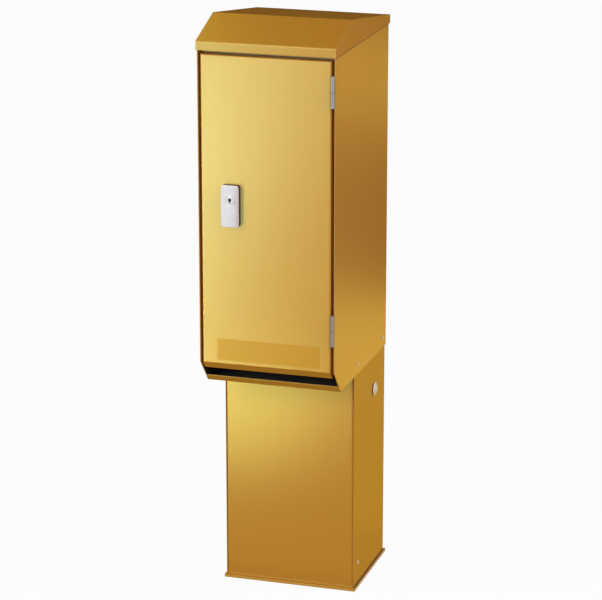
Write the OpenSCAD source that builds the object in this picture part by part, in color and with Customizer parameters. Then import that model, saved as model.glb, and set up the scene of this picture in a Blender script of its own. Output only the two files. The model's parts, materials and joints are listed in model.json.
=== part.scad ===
/* [Cabinet] */
// Outside width of the cabinet
cabinet_w = 275; // [265:1:340]
// Outside depth of the cabinet
cabinet_d = 380; // [350:1:460]
// Height of the cabinet's underside above the ground
cabinet_base_z = 460; // [380:1:600]
// Height of the cabinet's walls up to the eaves
wall_h = 673; // [620:1:800]
// How far the lower front is cut back
chamfer_d = 46; // [40:1:60]
// How high the cut at the lower front reaches
chamfer_h = 52; // [46:1:70]
// Thickness of the folded sheet
sheet_t = 1.5; // [1:0.1:2]
// Inside radius of the folds
bend_r = 1.5; // [1:0.1:2.5]

/* [Roof] */
// Height of the fascia at the front eaves
fascia_h = 18; // [12:1:30]
// Height of the drop at the rear eaves
rear_eaves_h = 17; // [12:1:30]
// Rise of the ridge above the fascia
ridge_rise = 37; // [20:1:60]
// Distance of the ridge behind the cabinet's front
ridge_setback = 103; // [60:1:200]
// Gap between the walls and the roof cap
roof_gap = 0.5; // [0.3:0.1:1]

/* [Door] */
// Gap beside the door at the lock
door_gap_lock = 4.5; // [3:0.1:7]
// Gap beside the door at the hinges
door_gap_hinge = 6.2; // [5.6:0.1:8]
// Gap between the door and the eaves
door_gap_top = 7; // [4:0.5:12]
// Depth of the door's folded returns
door_return = 20; // [18:1:26]
// Length of the slanted band at the door's foot
door_band = 20; // [18:1:26]
// Width of the flange of the frame behind the door
frame_flange = 22; // [18:1:28]
// Depth of the frame's rim
frame_depth = 15; // [10:1:25]
// Thickness of the gasket on the frame
gasket_t = 3.7; // [3:0.1:6]
// Width of the gasket on the frame
gasket_w = 10; // [6:1:14]

/* [Hinges] */
// Height of a hinge
hinge_h = 62; // [50:1:80]
// Radius of a hinge's knuckles
knuckle_r = 4; // [3.6:0.1:4.6]
// Radius of a hinge's pin
pin_r = 2.5; // [2:0.1:2.8]
// Thickness of a hinge's leaves
leaf_t = 2; // [1.5:0.1:2.2]
// Depth of a hinge's leaves behind the door's front
leaf_d = 16; // [12:1:18]
// From the door's top to the middle of the upper hinge
hinge_drop = 58; // [45:1:120]
// From the door's foot to the middle of the lower hinge
hinge_lift = 86; // [45:1:140]

/* [Handle] */
// Width of the handle
handle_w = 36; // [29:1:40]
// Height of the handle above its axis
handle_rise = 28.5; // [22:0.5:34]
// Reach of the handle below its axis
handle_drop = 54; // [44:1:60]
// Thickness of the handle
handle_t = 12; // [11:0.5:18]
// Thickness of the bright plate on the handle
plate_t = 2.5; // [2.2:0.1:3]
// Corner radius of the handle
handle_corner_r = 5; // [3:0.5:8]
// From the door's free edge to the handle's axis
lock_inset = 62.5; // [58:0.5:80]
// Height of the handle's axis above the door's foot
lock_h = 335; // [200:1:420]
// Radius of the handle's spindle
spindle_r = 7; // [6.5:0.1:8]
// Reach of the latch cam
cam_len = 52; // [44:1:58]
// Width of the latch cam
cam_w = 18; // [14:1:20]
// Thickness of the latch cam
cam_t = 3; // [2:0.5:5]
// Radius of the lock barrel
barrel_r = 10; // [9.5:0.1:11]
// Radius of the key plug
plug_r = 7.5; // [7:0.1:8.5]

/* [Cable outlet] */
// Length of the floor's lip along the chamfer
lip_len = 18; // [12:1:20]
// Height of the floor's upturn at the pedestal
floor_upturn = 24; // [15:1:34]
// Thickness of the mat on the floor
mat_t = 2; // [1:0.5:3]

/* [Pedestal] */
// Depth of the pedestal
pedestal_d = 230; // [215:1:280]
// How far the pedestal reaches up into the cabinet
pedestal_lap = 40; // [35:1:60]
// Depth of the front cover's returns
cover_return = 50; // [45:1:70]
// Gap between the front cover and the cabinet
cover_gap = 2; // [1:0.5:5]
// Thickness of the base plate
base_t = 5; // [4:0.5:10]
// How far the base plate stands proud of the pedestal
base_margin = 4.5; // [3:0.5:20]
// Width of the base plate's cable opening
cable_hole_w = 180; // [100:1:190]
// Depth of the base plate's cable opening
cable_hole_d = 110; // [60:1:130]
// Distance between the anchor holes across the pedestal
anchor_x = 220; // [210:1:230]
// Distance between the anchor holes along the pedestal
anchor_y = 180; // [160:1:185]
// Radius of the anchor holes
anchor_r = 6.5; // [5:0.1:8]
// Radius of the breather plug's head
breather_r = 15; // [13.5:0.5:18]
// Height of the breather plug's head
breather_h = 5; // [4:0.5:10]
// Radius of the breather plug's shank
breather_shank_r = 8; // [6:0.5:9]
// Distance of the breather plug behind the pedestal's middle
breather_y = 35; // [0:1:50]
// Distance of the breather plug below the cabinet
breather_drop = 73; // [40:1:150]

/* [Fasteners] */
// Radius of the screws' shanks
screw_r = 2.5; // [2:0.1:3]
// Radius of the screws' heads
screw_head_r = 4.75; // [4.5:0.05:5.5]
// Height of the screws' heads
screw_head_h = 2.75; // [2:0.05:3.5]
// Height of the clinch nuts
nut_h = 4; // [3:0.5:6]
// Distance of the cabinet's screws from the pedestal's corners
screw_edge = 22; // [15:1:35]
// Height of the cabinet's screws above its underside
screw_lift = 20; // [10:1:28]
// Distance of the cover's screws behind the pedestal's front
cover_screw_setback = 34; // [20:1:38]
// Height of the cover's screws above the base plate
cover_screw_lift = 44; // [20:1:100]

/* [Socket panel] */
// Distance of the socket panel behind the pedestal's front
panel_inset = 44; // [30:1:60]
// Thickness of the socket panel
panel_t = 2; // [1.5:0.1:3]
// Distance of the panel's top below the eaves
panel_head = 5; // [0:1:10]
// From the panel's top to the middle of the breaker window
window_drop = 78; // [72:1:100]
// From the panel's top to the power sockets
power_drop = 238; // [225:1:280]
// From the panel's top to the house sockets
house_drop = 353; // [340:1:420]
// Place of the power sockets as a share of half the panel's width
power_x_share = 0.46; // [0.4:0.01:0.52]
// Place of the house sockets as a share of half the panel's width
house_x_share = 0.33; // [0.3:0.01:0.6]

/* [Sockets] */
// Outer radius of a power socket's collar
power_collar_r = 33; // [32:0.5:35]
// Bore radius of a power socket's collar
power_bore_r = 28.5; // [27:0.5:29]
// Radius of a power socket's contact carrier
power_core_r = 23; // [20:0.5:23.5]
// Length of a power socket's collar
power_collar_len = 28; // [22:1:36]
// Outer radius of a house socket's collar
house_collar_r = 24; // [23:0.5:26]
// Bore radius of a house socket
house_bore_r = 19.7; // [18:0.1:20]
// Length of a house socket's collar
house_collar_len = 12; // [8:1:18]
// Thickness of the socket lids
lid_t = 9; // [8:0.5:12]

/* [Breakers] */
// Distance of the breaker row from the panel's edges
row_margin = 28.8; // [27:0.1:34]
// Height of the breakers' nose
nose_h = 45; // [40:1:46]
// Height of the breakers behind the panel
device_h = 82; // [76:1:90]
// Depth of the breakers from nose to rear
device_d = 66; // [60:1:74]
// Height of the breaker window's frame
window_h = 104; // [98:1:110]
// Thickness of the breaker window's frame
window_t = 8; // [6:1:12]
// Depth of the breaker window's flap
flap_d = 14; // [12:1:20]

/* [Hidden] */
$fn = 48;
// Overrun of every cut
over = 1;
// Gap between sheets that lie against each other
seat_gap = 0.3;
// Radial play of pins and shafts that turn
turn_play = 0.05;
// Radial play of screws in their holes
screw_play = 0.2;
// Steps in the arc of a fold
fold_steps = 5;

fold_out_r = bend_r + sheet_t;
inner_x = cabinet_w / 2 - sheet_t;
rear_y = pedestal_d / 2 + seat_gap + sheet_t;
front_y = rear_y - cabinet_d;
eaves_z = cabinet_base_z + wall_h;
ridge_z = eaves_z + fascia_h + ridge_rise;

// Chamfer at the lower front, as a point and a direction in the side view
chamfer_top = [front_y, cabinet_base_z + chamfer_h];
chamfer_foot = [front_y + chamfer_d, cabinet_base_z];
chamfer_dir = unit(chamfer_foot - chamfer_top);
chamfer_in = [-chamfer_dir.y, chamfer_dir.x];

// Roof cap
roof_over = roof_gap + sheet_t;
roof_w = cabinet_w + 2 * roof_over;
roof_front_y = front_y - roof_over;
roof_rear_y = rear_y + roof_over;
roof_crown = [
    [roof_rear_y, eaves_z + rear_eaves_h],
    [front_y + ridge_setback, ridge_z],
    [roof_front_y, eaves_z + fascia_h]
];
roof_screw_x = 90;

// Door
door_left = -inner_x + door_gap_lock;
door_right = inner_x - door_gap_hinge;
door_w = door_right - door_left;
door_x = (door_left + door_right) / 2;
door_foot_z = chamfer_top.y;
door_top_z = eaves_z - door_gap_top;
door_rear_y = front_y + door_return;
band_end = chamfer_top + door_band * chamfer_dir;
band_corner = band_end + chamfer_in * (door_rear_y - band_end.x) / chamfer_in.x;

// Frame behind the door
frame_y = door_rear_y + seat_gap + gasket_t;
frame_w = 2 * (inner_x - seat_gap);
frame_lift = 2;
frame_head = 6;
frame_low_z = door_foot_z + frame_lift;
frame_top_z = eaves_z + frame_head;
frame_opening_r = 8;
gasket_corner_r = 6;

// Hinges: the axis lies in front of the door so that the knuckles clear the gap's edges
knuckle_clear = 0.4;
knuckle_chord = door_gap_hinge / 2 - knuckle_clear;
hinge_out = sqrt(max(0, knuckle_r * knuckle_r - knuckle_chord * knuckle_chord));
hinge_x = (door_right + inner_x) / 2;
hinge_y = front_y - hinge_out;
hinge_zs = [door_top_z - hinge_drop, door_foot_z + hinge_lift];
washer_t = 1;
hinge_play = 0.1;
knuckle_cap = 3;

// Handle, lock and latch
lock_x = door_left + lock_inset;
lock_z = door_foot_z + lock_h;
bush_wall = 3.5;
bush_r = spindle_r + bush_wall;
bush_flange_r = bush_r + 2 * sheet_t;
bush_flange_t = 2;
bush_nut_h = 6;
bush_nut_wall = 4.5;
bush_tail = 2;
handle_y = front_y - bush_flange_t - seat_gap;
handle_front_y = handle_y - handle_t;
handle_crown_r = 400;
barrel_depth = 9;
barrel_proud = 0.4;
key_hole_r = 3.2;
key_bit_w = 2.8;
key_bit_len = 6.2;
cam_gap = 2;
cam_y = frame_y + sheet_t + cam_gap;
cam_hub_r = 11;
spindle_square = 8;
square_play = 0.1;
cam_bolt_r = 3;
cam_bolt_len = 12;
cam_bolt_head_r = 8;
cam_bolt_head_h = 4;

// Pedestal
pedestal_w = 2 * (inner_x - seat_gap);
pedestal_front_y = -pedestal_d / 2;
pedestal_top_z = cabinet_base_z + pedestal_lap;
pedestal_wall_y = pedestal_d / 2 - sheet_t;
pedestal_inner_w = pedestal_w - 2 * sheet_t;
cover_w = pedestal_inner_w - 2 * seat_gap;
rail_shelf = 20;
base_w = pedestal_w + 2 * base_margin;
base_d = pedestal_d + 2 * base_margin;
base_corner_r = 3;
cable_hole_r = 12;
floor_rear_y = pedestal_front_y - seat_gap;
mat_edge = 8;
mat_rib_w = 3;
mat_rib_h = 1;
mat_rib_pitch = 8;

// Breather plug
breather_z = cabinet_base_z - breather_drop;
breather_seal_t = 1.5;
breather_seal_rim = 2;
breather_nut_h = 5;
breather_nut_wall = 5;
breather_tail = 2;

// Fasteners
nut_wall = 2;
screw_tip = 1.5;
hex_socket_r = 1.8;
hex_socket_d = 1.6;

// Socket panel
panel_rear_y = pedestal_front_y + panel_inset;
panel_front_y = panel_rear_y - panel_t;
panel_top_z = eaves_z - panel_head;
panel_edge = 1;
panel_w = 2 * (inner_x - panel_edge);
bracket_flange = 14;
bracket_lift = 40;
panel_screw_drop = 12;
panel_screw_lift = 60;
panel_screw_x = inner_x - bracket_flange / 2;
panel_screw_len = 8;
cutout_play = 1;
cutout_r = 2;
window_z = panel_top_z - window_drop;
power_z = panel_top_z - power_drop;
house_z = panel_top_z - house_drop;
power_x = power_x_share * panel_w / 2;
house_x = house_x_share * panel_w / 2;

// Power sockets
power_flange_w = 80;
power_flange_t = 6;
power_back_r = 30;
power_back_len = 48;
power_face = 7;
power_groove = 24;
power_pin_ring_r = 13.5;
power_pin_r = 3;
power_pin_depth = 18;
power_pins = 5;
power_lid_rim = 2;

// House sockets
house_flange_w = 58;
house_flange_t = 5;
house_back_r = 21;
house_back_len = 26;
house_recess = 17;
house_pin_r = 2.5;
house_pin_pitch = 19;
house_pin_depth = 8;
house_lid_corner_r = 8;

// Lids and their hinges
flange_corner_r = 8;
flange_edge = 1;
lid_knuckle_r = 4;
lid_clear = 1;
lid_pin_r = 2;
ear_x = 14.3;
ear_t = 4;
ear_drop = 12;
tab_w = 16;
tab_h = 5;
tab_t = 4;

// Breaker row
module_counts = [4, 3, 3, 1, 1];
row_w = panel_w - 2 * row_margin;
module_w = row_w / row_sum(len(module_counts));
device_gap = 0.1;
nose_d = 24;
nose_y = panel_front_y;
rail_w = 35;
rail_hat_w = 25;
rail_h = 7.5;
rail_t = 1;
rail_bend_r = 0.5;
rail_seat = 6;
rail_play = 0.4;
rail_end = 1;
rail_y = nose_y + device_d - rail_seat;
rail_back_y = rail_y + rail_h + rail_t;
rail_bracket_x = row_w / 2 + rail_end + bend_r + seat_gap;
rail_bracket_foot = 12;
rail_bracket_h = 30;

// Toggles and test button
toggle_r = 5.5;
toggle_play = 0.3;
toggle_sink = 5;
toggle_len = 16;
toggle_t = 4;
toggle_tilt = 35;
toggle_slot_h = 13.4;
toggle_margin = 4.5;
button_r = 3.5;
button_len = 8;
button_proud = 2;
button_depth = 8;
button_x_share = 0.3;

// Breaker window
window_margin = 15.8;
window_w = row_w + 2 * window_margin;
window_corner_r = 6;
flap_margin = 4.8;
flap_w = row_w + 2 * flap_margin;
flap_wall = 2.5;
flap_edge = 6;
flap_knuckle_r = 4.5;
flap_pin_r = 2;
flap_ear_t = 5;
flap_clear = 0.5;
flap_drop = 3;
flap_pull_w = 40;
flap_pull_h = 4;
window_front_y = panel_front_y - window_t;
flap_y = window_front_y - flap_clear - flap_knuckle_r;
flap_z = window_z + window_h / 2 - flap_knuckle_r - flap_drop;
flap_low_z = window_z - window_h / 2 + flap_edge;

// Supply gear in the pedestal
supply_drop = 70;
supply_z = cabinet_base_z - supply_drop;
supply_rail_len = 160;
terminal_w = 12;
terminal_h = 50;
terminal_d = 44;
terminal_nose_h = 22;
terminal_nose_d = 10;
terminal_bore_r = 3.5;
terminal_bore_d = 14;
terminal_count = 5;
earth_drop = 80;
earth_z = supply_z - earth_drop;
earth_len = 130;
earth_h = 14;
earth_t = 5;
earth_standoff = 18;
earth_foot = 16;
earth_hole_r = 2.6;
earth_holes = 5;
clamp_drop = 250;
clamp_z = cabinet_base_z - clamp_drop;
clamp_h = 30;
clamp_d = 15;
clamp_lip = 8;
clamp_setback = 25;

function unit(v) = v / norm(v);

function turned(v, angle) = [v.x * cos(angle) - v.y * sin(angle), v.x * sin(angle) + v.y * cos(angle)];

// Normal to the left of the way from a to b
function left_of(a, b) = unit([a.y - b.y, b.x - a.x]);

// Angle of the turn at b, positive to the left
function turn(a, b, c) =
    let (u = unit(b - a), v = unit(c - b))
    atan2(u.x * v.y - u.y * v.x, u * v);

// Points of the arc of radius r that rounds the corner at b
function fillet(a, b, c, r) =
    let (angle = turn(a, b, c), way = sign(angle), u = unit(b - a))
    let (start = b - u * r * tan(abs(angle) / 2), spoke = way * r * [u.y, -u.x])
    r == 0 || angle == 0
        ? [b]
        : [for (i = [0:fold_steps]) start - spoke + turned(spoke, angle * i / fold_steps)];

// A point moved d to the left of the two ways that meet in it
function mitred(p, n0, n1, d) = p + d * (n0 + n1) / (1 + n0 * n1);

// A closed outline moved d inwards
function inset(outline, d) =
    let (n = len(outline))
    [for (i = [0:n - 1])
        let (a = outline[(i + n - 1) % n], b = outline[i], c = outline[(i + 1) % n])
        mitred(b, left_of(a, b), left_of(b, c), d)];

// A closed outline with its corners rounded
function rounded(outline, radii) =
    let (n = len(outline))
    [for (i = [0:n - 1])
        each fillet(outline[(i + n - 1) % n], outline[i], outline[(i + 1) % n], radii[i])];

// An open path moved d to its left
function beside(path, d) =
    let (last = len(path) - 1)
    [for (i = [0:last])
        let (n0 = left_of(path[max(i - 1, 0)], path[max(i, 1)]))
        let (n1 = left_of(path[min(i, last - 1)], path[min(i + 1, last)]))
        mitred(path[i], n0, n1, d)];

// Section of a sheet folded along an open path, with its thickness to the left
function folded(path, t, r) =
    let (last = len(path) - 1, other = beside(path, t))
    let (lefts = [for (i = [1:last - 1]) turn(path[i - 1], path[i], path[i + 1]) > 0])
    concat(
        [path[0]],
        [for (i = [1:last - 1])
            each fillet(path[i - 1], path[i], path[i + 1], lefts[i - 1] ? r + t : r)],
        [path[last], other[last]],
        [for (i = [last - 1:-1:1])
            each fillet(other[i + 1], other[i], other[i - 1], lefts[i - 1] ? r : r + t)],
        [other[0]]
    );

function box_outline(w, h, r) =
    rounded([[-w / 2, -h / 2], [w / 2, -h / 2], [w / 2, h / 2], [-w / 2, h / 2]], [r, r, r, r]);

// Number of modules before place i of the breaker row
function row_sum(i) = i == 0 ? 0 : module_counts[i - 1] + row_sum(i - 1);

// Middle of place i of the breaker row
function row_x(i) = module_w * (row_sum(i) + module_counts[i] / 2) - row_w / 2;

// Roof section with its lower edge moved down
function roof_outline(drop) =
    concat([[roof_front_y, eaves_z - drop], [roof_rear_y, eaves_z - drop]], roof_crown);

function roof_inside() =
    rounded(inset(roof_outline(sheet_t + over), sheet_t), [0, 0, bend_r, bend_r, bend_r]);

// Section of a device that snaps onto a top-hat rail, with its nose at y 0
function rail_device(front_h, front_d, h, d) =
    let (seat_h = rail_w / 2 + rail_play)
    let (half = [
        [0, front_h / 2], [front_d, front_h / 2], [front_d, h / 2], [d, h / 2], [d, seat_h],
        [d - rail_seat, seat_h]
    ])
    concat(
        [for (p = half) [p.x, -p.y]],
        [for (i = [len(half) - 1:-1:0]) half[i]]
    );

// A side view, y across and z up, drawn out along x about its middle
module along_x(w) {
    rotate([90, 0, 90])
        linear_extrude(w, center = true)
            children();
}

// A front view, x across and z up, drawn out towards the rear
module along_y(d) {
    translate([0, d, 0])
        rotate([90, 0, 0])
            linear_extrude(d)
                children();
}

module rod_x(r, length) {
    rotate([0, 90, 0])
        cylinder(r = r, h = length, center = true);
}

module rod_y(r, length) {
    rotate([-90, 0, 0])
        cylinder(r = r, h = length);
}

// The places of the body's screws: z points out of the sheet, and the grip is the sheets' thickness
module at_body_screws() {
    for (side = [-1, 1]) {
        for (end = [-1, 1])
            translate([
                side * cabinet_w / 2, end * (pedestal_d / 2 - screw_edge), cabinet_base_z + screw_lift
            ])
                rotate([0, 90 * side, 0])
                    let ($grip = 2 * sheet_t + seat_gap)
                        children();
        translate([
            side * pedestal_w / 2, pedestal_front_y + cover_screw_setback, base_t + cover_screw_lift
        ])
            rotate([0, 90 * side, 0])
                let ($grip = 2 * sheet_t + seat_gap)
                    children();
        translate([side * roof_screw_x, roof_rear_y, eaves_z + rear_eaves_h / 2])
            rotate([-90, 0, 0])
                let ($grip = 2 * sheet_t + roof_gap)
                    children();
    }
}

module at_panel_screws() {
    for (side = [-1, 1])
        for (z = [panel_top_z - panel_screw_drop, pedestal_top_z + panel_screw_lift])
            translate([side * panel_screw_x, panel_front_y, z])
                rotate([90, 0, 0])
                    children();
}

module button_screw(length) {
    dome_r = (screw_head_r * screw_head_r + screw_head_h * screw_head_h) / (2 * screw_head_h);
    difference() {
        union() {
            intersection() {
                translate([0, 0, screw_head_h - dome_r])
                    sphere(dome_r);
                cylinder(r = screw_head_r, h = screw_head_h);
            }
            translate([0, 0, -length])
                cylinder(r = screw_r, h = length + screw_head_h / 2);
        }
        translate([0, 0, screw_head_h - hex_socket_d])
            cylinder(r = hex_socket_r, h = hex_socket_d + over, $fn = 6);
    }
}

module body_screw_holes() {
    at_body_screws()
        translate([0, 0, -$grip - over])
            cylinder(r = screw_r + screw_play, h = $grip + 2 * over);
}

module body_screws() {
    color("mistyrose")
        at_body_screws()
            button_screw($grip + nut_h + screw_tip);
}

module clinch_nuts() {
    color("silver")
        at_body_screws()
            translate([0, 0, -$grip - nut_h])
                difference() {
                    cylinder(r = screw_r + nut_wall, h = nut_h);
                    translate([0, 0, -over])
                        cylinder(r = screw_r + turn_play, h = nut_h + 2 * over);
                }
}

module base_plate() {
    color("saddlebrown")
        difference() {
            linear_extrude(base_t)
                difference() {
                    polygon(box_outline(base_w, base_d, base_corner_r));
                    polygon(box_outline(cable_hole_w, cable_hole_d, cable_hole_r));
                }
            for (x = [-1, 1], y = [-1, 1])
                translate([x * anchor_x / 2, y * anchor_y / 2, -over])
                    cylinder(r = anchor_r, h = base_t + 2 * over);
        }
}

// One folded wall round three sides, with an angle rail across the front of its top
module pedestal_shell() {
    half_w = pedestal_w / 2;
    wall = [
        [half_w, pedestal_front_y], [half_w, pedestal_d / 2], [-half_w, pedestal_d / 2],
        [-half_w, pedestal_front_y]
    ];
    rail = [
        [pedestal_front_y + rail_shelf, pedestal_top_z], [pedestal_front_y, pedestal_top_z],
        [pedestal_front_y, cabinet_base_z]
    ];
    color("goldenrod")
        difference() {
            union() {
                translate([0, 0, base_t])
                    linear_extrude(pedestal_top_z - base_t)
                        polygon(folded(wall, sheet_t, bend_r));
                along_x(pedestal_inner_w)
                    polygon(folded(rail, sheet_t, bend_r));
            }
            body_screw_holes();
            translate([half_w, breather_y, breather_z])
                rod_x(breather_shank_r + screw_play, 2 * (sheet_t + over));
        }
}

module pedestal_cover() {
    half_w = cover_w / 2;
    path = [
        [-half_w, pedestal_front_y + cover_return], [-half_w, pedestal_front_y],
        [half_w, pedestal_front_y], [half_w, pedestal_front_y + cover_return]
    ];
    color("goldenrod")
        difference() {
            translate([0, 0, base_t + seat_gap])
                linear_extrude(cabinet_base_z - cover_gap - base_t - seat_gap)
                    polygon(folded(path, sheet_t, bend_r));
            body_screw_holes();
        }
}

// The breather's axis, with z pointing out of the pedestal's right wall
module at_breather() {
    translate([pedestal_w / 2, breather_y, breather_z])
        rotate([0, 90, 0])
            children();
}

module breather_plug() {
    dome_r = (breather_r * breather_r + breather_h * breather_h) / (2 * breather_h);
    tail = sheet_t + breather_nut_h + breather_tail;
    color("whitesmoke")
        at_breather() {
            translate([0, 0, breather_seal_t])
                intersection() {
                    translate([0, 0, breather_h - dome_r])
                        sphere(dome_r);
                    cylinder(r = breather_r, h = breather_h);
                }
            translate([0, 0, -tail])
                cylinder(r = breather_shank_r, h = tail + breather_seal_t + breather_h / 2);
        }
}

module breather_seal() {
    color("dimgray")
        at_breather()
            difference() {
                cylinder(r = breather_r - breather_seal_rim, h = breather_seal_t);
                translate([0, 0, -over])
                    cylinder(r = breather_shank_r + turn_play, h = breather_seal_t + 2 * over);
            }
}

module breather_nut() {
    color("silver")
        at_breather()
            translate([0, 0, -sheet_t - breather_nut_h])
                difference() {
                    cylinder(r = breather_shank_r + breather_nut_wall, h = breather_nut_h, $fn = 6);
                    translate([0, 0, -over])
                        cylinder(r = breather_shank_r + turn_play, h = breather_nut_h + 2 * over);
                }
}

// Channel across the pedestal that incoming cables are clamped to
module clamp_rail() {
    half_h = clamp_h / 2;
    path = [
        [0, clamp_lip - half_h], [0, -half_h], [clamp_d, -half_h], [clamp_d, half_h], [0, half_h],
        [0, half_h - clamp_lip]
    ];
    color("silver")
        translate([0, pedestal_wall_y - clamp_setback - clamp_d, clamp_z])
            along_x(pedestal_inner_w)
                polygon(folded(path, sheet_t, bend_r));
}

// Rail with its flanges' front at y 0 and its hat towards the rear
module top_hat_rail(length) {
    path = [
        [0, rail_w / 2], [0, rail_hat_w / 2], [rail_h, rail_hat_w / 2], [rail_h, -rail_hat_w / 2],
        [0, -rail_hat_w / 2], [0, -rail_w / 2]
    ];
    along_x(length)
        polygon(folded(path, rail_t, rail_bend_r));
}

module supply_rail() {
    color("silver")
        translate([0, pedestal_wall_y - rail_h - rail_t, supply_z])
            top_hat_rail(supply_rail_len);
}

module supply_terminals() {
    color("gray")
        for (i = [0:terminal_count - 1])
            translate([
                terminal_w * (i - (terminal_count - 1) / 2),
                pedestal_wall_y - rail_h - rail_t - terminal_d + rail_seat, supply_z
            ])
                difference() {
                    along_x(terminal_w - 2 * device_gap)
                        polygon(rail_device(terminal_nose_h, terminal_nose_d, terminal_h, terminal_d));
                    for (end = [-1, 1])
                        translate([0, terminal_d / 2, end * terminal_h / 2])
                            cylinder(r = terminal_bore_r, h = 2 * terminal_bore_d, center = true);
                }
}

module earth_bar() {
    color("goldenrod")
        translate([0, pedestal_wall_y - earth_standoff, earth_z])
            difference() {
                union() {
                    translate([-earth_len / 2, 0, -earth_h / 2])
                        cube([earth_len, earth_t, earth_h]);
                    for (side = [-1, 1])
                        translate([side * (earth_len - earth_foot) / 2 - earth_foot / 2, 0, -earth_h / 2])
                            cube([earth_foot, earth_standoff, earth_h]);
                }
                for (i = [0:earth_holes - 1])
                    translate([
                        (earth_len - 3 * earth_foot) * (i / (earth_holes - 1) - 1 / 2), -over, 0
                    ])
                        rod_y(earth_hole_r, earth_t + 2 * over);
            }
}

// One folded wall round three sides, cut to the chamfer below and to the roof's inside above
module cabinet_shell() {
    half_w = cabinet_w / 2;
    wall = [[half_w, front_y], [half_w, rear_y], [-half_w, rear_y], [-half_w, front_y]];
    color("gold")
        difference() {
            intersection() {
                translate([0, 0, cabinet_base_z])
                    linear_extrude(ridge_z - cabinet_base_z)
                        polygon(folded(wall, sheet_t, bend_r));
                along_x(cabinet_w + 2 * over) {
                    polygon([
                        chamfer_top, chamfer_foot, [rear_y, cabinet_base_z], [rear_y, eaves_z],
                        [front_y, eaves_z]
                    ]);
                    polygon(roof_inside());
                }
            }
            body_screw_holes();
        }
}

module cabinet_floor() {
    path = [
        chamfer_foot - lip_len * chamfer_dir, chamfer_foot, [floor_rear_y, cabinet_base_z],
        [floor_rear_y, cabinet_base_z + floor_upturn]
    ];
    color("goldenrod")
        along_x(frame_w)
            polygon(folded(path, sheet_t, bend_r));
}

module floor_mat() {
    low_y = chamfer_foot.x + mat_edge;
    high_y = floor_rear_y - sheet_t - mat_edge;
    ribs = floor((high_y - low_y - mat_rib_w) / mat_rib_pitch);
    color("black")
        translate([0, low_y, cabinet_base_z + sheet_t])
            along_x(frame_w - 2 * mat_edge) {
                square([high_y - low_y, mat_t]);
                for (i = [0:ribs])
                    translate([i * mat_rib_pitch, 0])
                        square([mat_rib_w, mat_t + mat_rib_h]);
            }
}

// Folded hood with a fascia, two slopes, end cheeks and a rear drop
module roof_cap() {
    radii = [0, 0, fold_out_r, fold_out_r, fold_out_r];
    color("goldenrod")
        difference() {
            along_x(roof_w)
                polygon(rounded(roof_outline(0), radii));
            along_x(roof_w - 2 * sheet_t)
                polygon(roof_inside());
            body_screw_holes();
        }
}

module door_frame() {
    high = frame_top_z - frame_low_z;
    opening_top_z = door_top_z - frame_flange;
    opening_low_z = frame_low_z + frame_flange;
    color("goldenrod")
        difference() {
            translate([-frame_w / 2, frame_y, frame_low_z])
                cube([frame_w, frame_depth, high]);
            translate([sheet_t - frame_w / 2, frame_y + sheet_t, frame_low_z + sheet_t])
                cube([frame_w - 2 * sheet_t, frame_depth, high - 2 * sheet_t]);
            translate([0, frame_y - over, (opening_top_z + opening_low_z) / 2])
                along_y(sheet_t + 2 * over)
                    polygon(box_outline(
                        frame_w - 2 * frame_flange, opening_top_z - opening_low_z, frame_opening_r
                    ));
        }
}

module door_gasket() {
    high = door_top_z - frame_low_z;
    color("black")
        translate([door_x, frame_y - gasket_t, frame_low_z + high / 2])
            along_y(gasket_t)
                difference() {
                    polygon(box_outline(door_w, high, gasket_corner_r));
                    polygon(box_outline(door_w - 2 * gasket_w, high - 2 * gasket_w, gasket_corner_r));
                }
}

// Plan of the door's pan, s within its outside
module door_plan(s, r, rear_y) {
    left = door_left + s;
    right = door_right - s;
    near = front_y + s;
    translate([0, 0, band_end.y - over])
        linear_extrude(door_top_z - band_end.y + 2 * over)
            polygon(rounded([[left, near], [right, near], [right, rear_y], [left, rear_y]], [r, r, 0, 0]));
}

// Folded pan: front, three returns and the slanted band at its foot
module door() {
    reach = (door_return + 2 * sheet_t + over) / chamfer_dir.x;
    outline = [
        chamfer_top, band_end, band_corner, [door_rear_y, door_top_z], [front_y, door_top_z]
    ];
    hollow = [
        chamfer_top, chamfer_top + reach * chamfer_dir, [front_y + reach * chamfer_dir.x, door_top_z],
        [front_y, door_top_z]
    ];
    color("khaki")
        difference() {
            intersection() {
                translate([door_x, 0, 0])
                    along_x(door_w)
                        polygon(rounded(outline, [fold_out_r, 0, 0, 0, fold_out_r]));
                door_plan(0, fold_out_r, door_rear_y + over);
            }
            intersection() {
                translate([door_x, 0, 0])
                    along_x(door_w - 2 * sheet_t)
                        polygon(rounded(inset(hollow, sheet_t), [bend_r, 0, 0, bend_r]));
                door_plan(sheet_t, bend_r, door_rear_y + over);
            }
            translate([lock_x, front_y - over, lock_z])
                rod_y(bush_r + screw_play, sheet_t + 2 * over);
        }
}

// Upper knuckle of a lift-off hinge with the leaf on the door's edge
module hinge_leaves() {
    high = hinge_h / 2 - washer_t / 2 - hinge_play;
    color("darkgray")
        for (z = hinge_zs)
            translate([0, 0, z + washer_t / 2 + hinge_play])
                difference() {
                    union() {
                        translate([hinge_x, hinge_y, 0])
                            cylinder(r = knuckle_r, h = high);
                        translate([door_right, hinge_y, 0])
                            cube([leaf_t, hinge_out + leaf_d, high]);
                    }
                    translate([hinge_x, hinge_y, -over])
                        cylinder(r = pin_r + turn_play, h = high - knuckle_cap + over);
                }
}

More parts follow.
